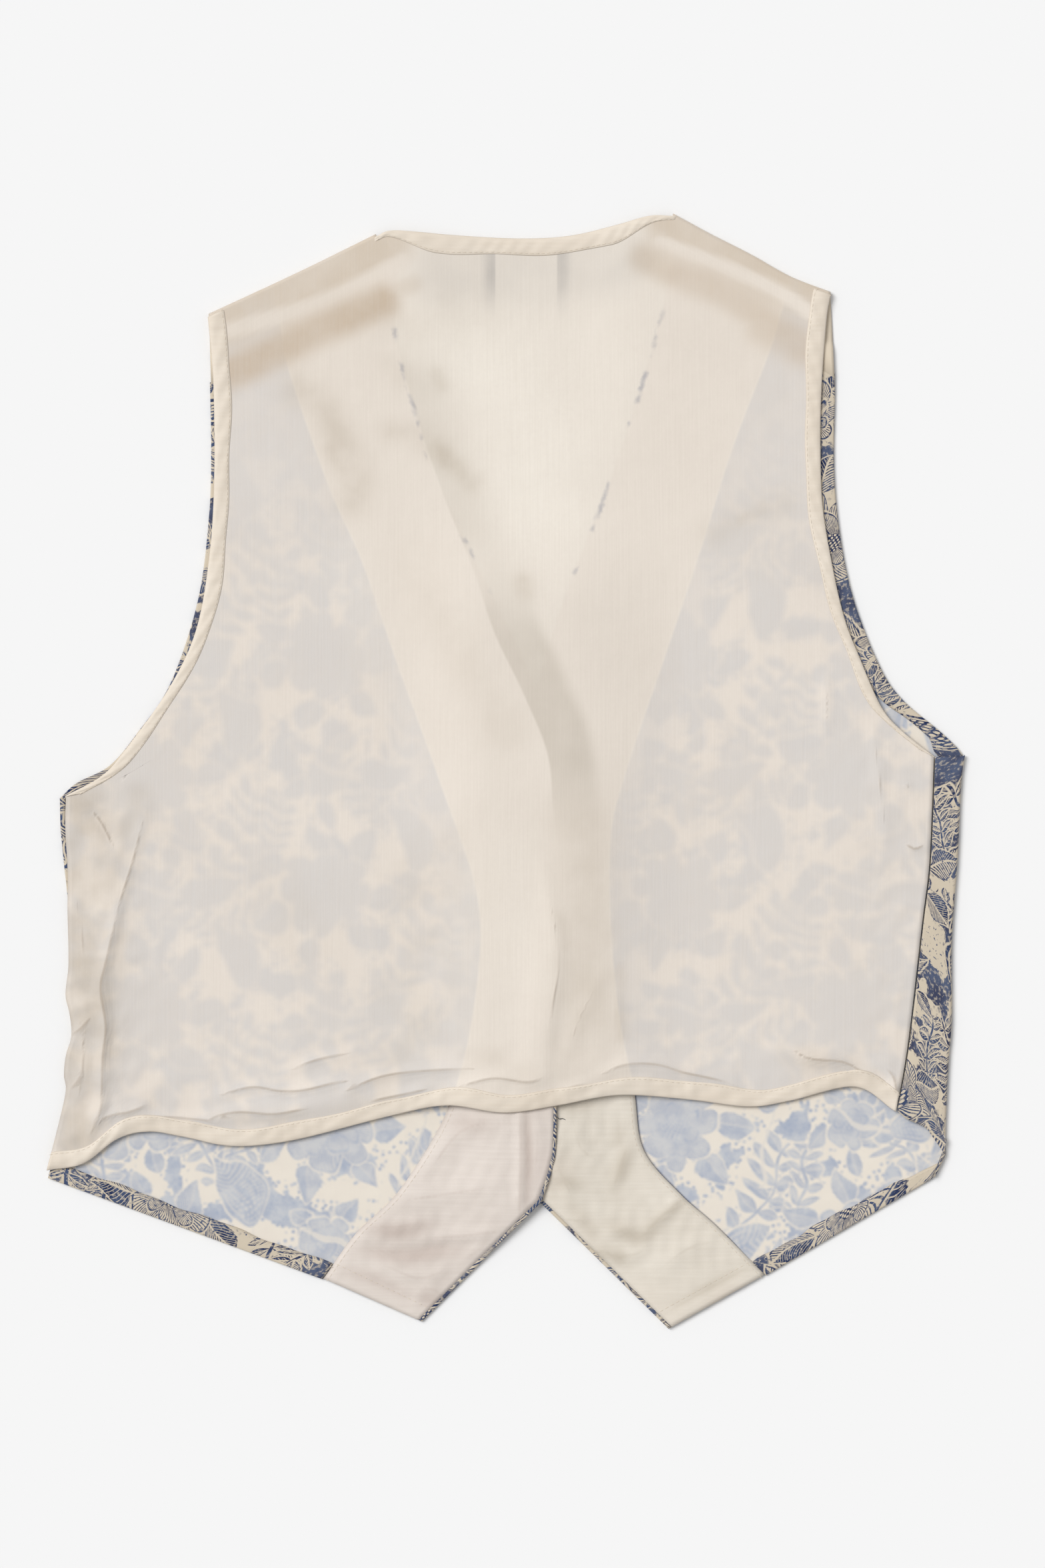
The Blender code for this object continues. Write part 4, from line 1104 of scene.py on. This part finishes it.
back_silk = finish("back_silk_cloth", paint_back, 0.5, sheen=0.2, specular=0.45)
back_under = finish("back_silk_under", paint_back_under_shaded, 0.5, sheen=0.2, specular=0.45)
back_grid = with_height(back_plan, back_height)
shoulder_points = BACK_SHOULDER_CELLS + 1
back_sheets = [
    (back_grid, back_plan),
    shoulder_sheet(back_grid[-1, :shoulder_points], SHOULDER_SEAM_LEFT),
    shoulder_sheet(back_grid[-1, -shoulder_points:], SHOULDER_SEAM_RIGHT),
]
back = cloth("back_cloth", back_sheets, back_silk, back_under, painted)
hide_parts("back")
size, area = cut(back_sheets)


# The bindings
# Bias strips of the same silk, folded round the back's neck, armhole and hem edges and topstitched 8.5 mm
# in. They are rounded at the edge, and the bias pulls in small slanting wrinkles.
BINDING_WIDTH = 8.5
BINDING_PROFILE = [(0, 0.2), (0.08, 0.5), (0.25, 0.66), (0.5, 0.7), (0.75, 0.64), (0.9, 0.5), (0.97, 0.34),
                   (1.03, 0.06)]
BINDING_UNDER = [(0.5, -0.55), (0.2, -0.58), (-0.02, -0.4), (-0.05, 0.0)]
BINDING_END_CELLS = 6
STITCH_COLUMN = -3


def binding_sheet(edge, inner, over_ends):
    """A binding round an edge of the back: under the edge, round it and over to its stitched line.

    Where over_ends is true, both its ends turn down over the rolled shoulders.
    """
    inward = unit(inner - edge)
    drop = np.zeros(len(edge))
    if over_ends:
        turns = np.linspace(math.pi / 2.0, 0.0, BINDING_END_CELLS + 1)[:-1]
        past, sinks = ROLL * np.cos(turns)[:, None], ROLL * (1.0 - np.sin(turns))
        first, last = unit(edge[0] - edge[4]), unit(edge[-1] - edge[-5])
        edge = np.vstack([(edge[0] + past * first)[::-1], edge[1:-1], edge[-1] + past * last])
        first_way, last_way = (np.tile(way, (BINDING_END_CELLS, 1)) for way in (inward[0], inward[-1]))
        inward = np.vstack([first_way, inward[1:-1], last_way])
        drop = np.concatenate([sinks[::-1], np.zeros(len(edge) - 2 * BINDING_END_CELLS), sinks])
    steps = np.linalg.norm(np.diff(edge, axis=0), axis=1)
    along = np.concatenate([[0.0], np.cumsum(steps)])
    wide = BINDING_WIDTH * (1.0 + 0.07 * np.sin(along / 17.0) + 0.05 * np.sin(along / 7.3 + 2.0))
    if over_ends:
        from_end = np.minimum(along, along[-1] - along)
        wide = wide * (0.22 + 0.78 * ease(from_end, 2.0, 34.0))
    columns = []
    for part, rise in BINDING_UNDER + BINDING_PROFILE:
        plan = edge + inward * (part * wide)[:, None]
        wrinkle = 0.2 * np.sin(along / 1.5 + part * 5.0 + 2.5 * np.sin(along / 11.0))
        wrinkle = wrinkle + 0.26 * np.sin(along / 3.1 - part * 4.0 + 2.0 * np.sin(along / 19.0))
        held = max(0.0, math.sin(math.pi * min(max(part, 0.0), 1.0)))
        height = back_height(plan[:, 0], plan[:, 1]) + MIDDLE + rise + wrinkle * held - drop
        columns.append(np.column_stack([plan, height]))
    grid = np.stack(columns, axis=1)
    return [(grid, unrolled(grid, inward))]


def finer(run, factor):
    return at_parts(run, np.linspace(0.0, 1.0, (len(run) - 1) * factor + 1))


binding_silk = finish("binding_silk_cloth", paint_silk((230, 219, 204), (222, 209, 192), (226, 209, 190)),
                      0.42, sheen=0.2)
armhole_start = BACK_SIDE_CELLS
neck_columns = slice(BACK_SHOULDER_CELLS, BACK_SHOULDER_CELLS + BACK_NECK_CELLS + 1)
BINDINGS = (
    ("armhole_binding_left", back_plan[armhole_start:, 0], back_plan[armhole_start:, 4]),
    ("armhole_binding_right", back_plan[armhole_start:, -1], back_plan[armhole_start:, -5]),
    ("neck_binding", back_plan[-1, neck_columns], back_plan[-5, neck_columns]),
    ("hem_binding", back_plan[0], back_plan[4]),
)
binding_grids = []
for node, edge, inner in BINDINGS:
    sheets = binding_sheet(finer(edge, 2), finer(inner, 2), node == "neck_binding")
    binding_grids.append(sheets[0][0])
    piece = cloth(node + "_silk", sheets, binding_silk, binding_silk)
    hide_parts(node)


# The stitches
# Machine stitches in cream thread on the bindings and the facings' hems, and finer slip stitches on the
# facings' outer edges and the turned bands. One loose end of navy thread hangs from the lap at the hem.
THREAD_THICKNESS = 0.3
STITCH_LENGTH = 2.2
LOOSE_THREAD = [(26.8, -179.6, 6.3), (27.6, -181.4, 5.9), (28.8, -182.6, 5.4), (30.2, -182.2, 4.9),
                (31.6, -182.9, 4.7)]


def stitch_tree():
    """Geometry nodes that lay short rounded threads one after another along the edges of a mesh."""
    tree = bpy.data.node_groups.new("stitches", "GeometryNodeTree")
    tree.interface.new_socket("Line", in_out="INPUT", socket_type="NodeSocketGeometry")
    for name, kind in (("Pitch", "Float"), ("Length", "Float"), ("Thickness", "Float"), ("Seed", "Int"),
                       ("Thread", "Material")):
        tree.interface.new_socket(name, in_out="INPUT", socket_type="NodeSocket" + kind)
    tree.interface.new_socket("Stitches", in_out="OUTPUT", socket_type="NodeSocketGeometry")
    made = {}

    def add(name, kind, **settings):
        made[name] = tree.nodes.new(kind)
        for key, value in settings.items():
            setattr(made[name], key, value)

    add("given", "NodeGroupInput")
    add("line", "GeometryNodeMeshToCurve")
    add("points", "GeometryNodeResampleCurve", mode="LENGTH")
    add("thread", "GeometryNodeMeshUVSphere")
    add("direction", "GeometryNodeInputTangent")
    add("turn", "FunctionNodeAlignRotationToVector", axis="X")
    add("uneven", "FunctionNodeRandomValue", data_type="FLOAT")
    add("long", "ShaderNodeMath", operation="MULTIPLY")
    add("size", "ShaderNodeCombineXYZ")
    add("placed", "GeometryNodeInstanceOnPoints")
    add("real", "GeometryNodeRealizeInstances")
    add("dyed", "GeometryNodeSetMaterial")
    add("result", "NodeGroupOutput")
    for name, socket, value in (("thread", "Segments", 6), ("thread", "Rings", 4), ("thread", "Radius", 0.5),
                                ("uneven", 2, 0.82), ("uneven", 3, 1.06)):
        made[name].inputs[socket].default_value = value
    for source, out, target, into in (
        ("given", "Line", "line", "Mesh"), ("line", "Curve", "points", "Curve"),
        ("given", "Pitch", "points", "Length"),
        ("points", "Curve", "placed", "Points"), ("thread", "Mesh", "placed", "Instance"),
        ("direction", "Tangent", "turn", "Vector"), ("turn", "Rotation", "placed", "Rotation"),
        ("given", "Seed", "uneven", "Seed"), ("uneven", 1, "long", 0), ("given", "Length", "long", 1),
        ("long", 0, "size", "X"), ("given", "Thickness", "size", "Y"), ("given", "Thickness", "size", "Z"),
        ("size", 0, "placed", "Scale"), ("placed", "Instances", "real", "Geometry"),
        ("real", "Geometry", "dyed", "Geometry"), ("given", "Thread", "dyed", "Material"),
        ("dyed", "Geometry", "result", "Stitches"),
    ):
        tree.links.new(made[source].outputs[out], made[target].inputs[into])
    return tree


def stitched(name, runs, pitch, seed, thread):
    """One plain mesh of all the stitches along these runs of points."""
    points, edges, count = [], [], 0
    for run in runs:
        points += (run * MM).tolist()
        edges += [(count + step, count + step + 1) for step in range(len(run) - 1)]
        count += len(run)
    lines = bpy.data.meshes.new(name)
    lines.from_pydata(points, edges, [])
    made = bpy.data.objects.new(name, lines)
    bpy.context.scene.collection.objects.link(made)
    laid = made.modifiers.new("Stitches", "NODES")
    laid.node_group = stitches
    sockets = {item.name: item.identifier for item in stitches.interface.items_tree}
    for key, value in (("Pitch", pitch * MM), ("Length", STITCH_LENGTH * MM),
                       ("Thickness", THREAD_THICKNESS * MM), ("Seed", seed), ("Thread", thread)):
        laid[sockets[key]] = value
    graph = bpy.context.evaluated_depsgraph_get()
    plain = bpy.data.meshes.new_from_object(made.evaluated_get(graph), depsgraph=graph)
    made.modifiers.clear()
    made.data = plain
    plain.shade_smooth()
    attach(made, "root")
    return made


def on_cloth(run):
    """A run of a cloth's middle surface, raised to lie on the cloth."""
    return run + (0.0, 0.0, SHELL / 2.0 + 0.05)


def paint_thread(light, dark):
    def paint(start):
        twist = start.place().noise(900.0)
        return twist.mix(srgb(*light), srgb(*dark)), twist * 0.05, twist * 0.3 + 0.4
    return paint


stitches = stitch_tree()
cream_thread = finish("cream_thread", paint_thread((232, 221, 204), (206, 194, 177)), 0.5)
navy_thread = finish("navy_thread", paint_thread((52, 60, 78), (30, 36, 52)), 0.5)
facing_rows = [[on_cloth(grid[:, -2]), on_cloth(grid[HEM_STITCH_ROW, 1:-1])] for grid in facing_grids]
for name, runs, pitch, seed, slot in (
    ("binding_stitches", [on_cloth(grid[:, STITCH_COLUMN]) for grid in binding_grids], 2.9, 1,
     "binding_silk"),
    ("left_facing_stitches", facing_rows[0], 3.1, 2, "left_facing_silk"),
    ("right_facing_stitches", facing_rows[1], 3.1, 3, "right_facing_silk"),
    ("turned_band_stitches", [on_cloth(grid[:, -2]) for grid in turned_grids], 3.3, 4, "print_cloth"),
    ("loose_thread", [np.array(LOOSE_THREAD)], 0.9, 5, "print_cloth"),
):
    piece = stitched(name, runs, pitch, seed, navy_thread if name == "loose_thread" else cream_thread)


# The label
# A blank ribbon of woven silk, stitched under the back's neck by its ends. It lies below the back, and only
# its two sides show, as shadows through the silk.
LABEL_MIDDLE = (10.7, 260.0)
LABEL_SIZE = (51.0, 30.0)
LABEL_TURN = math.radians(3.8)
LABEL_CELLS = (30, 18)
label_u, label_v = np.meshgrid(*(np.linspace(-size / 2.0, size / 2.0, cells + 1)
                                 for size, cells in zip(LABEL_SIZE, LABEL_CELLS)))
label_cos, label_sin = math.cos(LABEL_TURN), math.sin(LABEL_TURN)
label_plan = np.stack([LABEL_MIDDLE[0] + label_u * label_cos - label_v * label_sin,
                       LABEL_MIDDLE[1] + label_u * label_sin + label_v * label_cos], axis=-1)


def label_lift(x, y):
    return 0.12 + 0.08 * np.sin(x / 9.0) * np.cos(y / 7.0)


ribbon = finish("label_ribbon_cloth", paint_silk((222, 214, 204), (208, 200, 190), (214, 202, 190)), 0.55)
label = cloth("label_ribbon_piece", [(with_height(label_plan, label_lift), label_plan)], ribbon, ribbon)
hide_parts("label")


# The buttons
# Four plain buttons cut from shell, each with four holes. They fasten the lap and lie face down below it.
# The solids already have their shape, so only the clouded finish of shell is added.
BUTTON_COUNT = 4


def paint_shell(start):
    values = {"Vector": start.place(), "Scale": 130.0, "Detail": 3.0, "Distortion": 1.2}
    rings = start.node("TexNoise", {}, values)
    colour = rings.ease(0.3, 0.7).mix(srgb(233, 227, 214), srgb(205, 198, 188))
    return colour, rings * 0.04, rings * 0.2 + 0.15


shell = finish("button_shell_finish", paint_shell, 0.25)
for count in range(1, BUTTON_COUNT + 1):
    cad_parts[f"button_{count}"].material_slots[0].material = shell


# The camera, floor and light
# The camera looks straight down from three metres, so that the picture takes in 549 by 823 mm. A wide, soft
# light comes from the upper left of the picture, over a pale floor in an evenly lit room.
PICTURE_MIDDLE = (9.45, -7.0)
PICTURE_LENGTH = 823.2
CAMERA_HEIGHT = 3.0
SENSOR = 36.0
FLOOR_REACH, FLOOR_DROP = 6.0, 0.0004
ROOM_STRENGTH = 0.47
SUN_STRENGTH = 2.15
SUN_SOFTNESS = 35.0
SUN_FROM = (-0.56, 0.36, 0.92)
camera = bpy.data.objects.new("camera", bpy.data.cameras.new("camera"))
bpy.context.scene.collection.objects.link(camera)
camera.data.sensor_width = SENSOR
camera.data.lens = SENSOR * CAMERA_HEIGHT / (PICTURE_LENGTH * MM)
camera.location = (PICTURE_MIDDLE[0] * MM, PICTURE_MIDDLE[1] * MM, CAMERA_HEIGHT)
bpy.context.scene.camera = camera
bpy.context.scene.view_settings.view_transform = "Standard"

floor_mesh = bpy.data.meshes.new("floor")
floor_corners = [(x * FLOOR_REACH, y * FLOOR_REACH, 0.0) for x, y in ((-1, -1), (1, -1), (1, 1), (-1, 1))]
floor_mesh.from_pydata(floor_corners, [], [(0, 1, 2, 3)])
floor = bpy.data.objects.new("floor", floor_mesh)
floor.location.z = -FLOOR_DROP
bpy.context.scene.collection.objects.link(floor)
floor_paint = bpy.data.materials.new("floor_paint")
floor_paint.use_nodes = True
floor_shader = floor_paint.node_tree.nodes["Principled BSDF"]
floor_shader.inputs["Base Color"].default_value = (0.9, 0.9, 0.9, 1.0)
floor_shader.inputs["Roughness"].default_value = 0.9
floor_shader.inputs["Specular IOR Level"].default_value = 0.1
floor_mesh.materials.append(floor_paint)

world = bpy.data.worlds.new("room")
bpy.context.scene.world = world
world.use_nodes = True
world.node_tree.nodes["Background"].inputs["Color"].default_value = (1.0, 1.0, 1.0, 1.0)
world.node_tree.nodes["Background"].inputs["Strength"].default_value = ROOM_STRENGTH
sun = bpy.data.objects.new("window", bpy.data.lights.new("window", "SUN"))
sun.data.energy = SUN_STRENGTH
sun.data.angle = math.radians(SUN_SOFTNESS)
sun.rotation_euler = Vector(SUN_FROM).to_track_quat("Z", "Y").to_euler()
bpy.context.scene.collection.objects.link(sun)
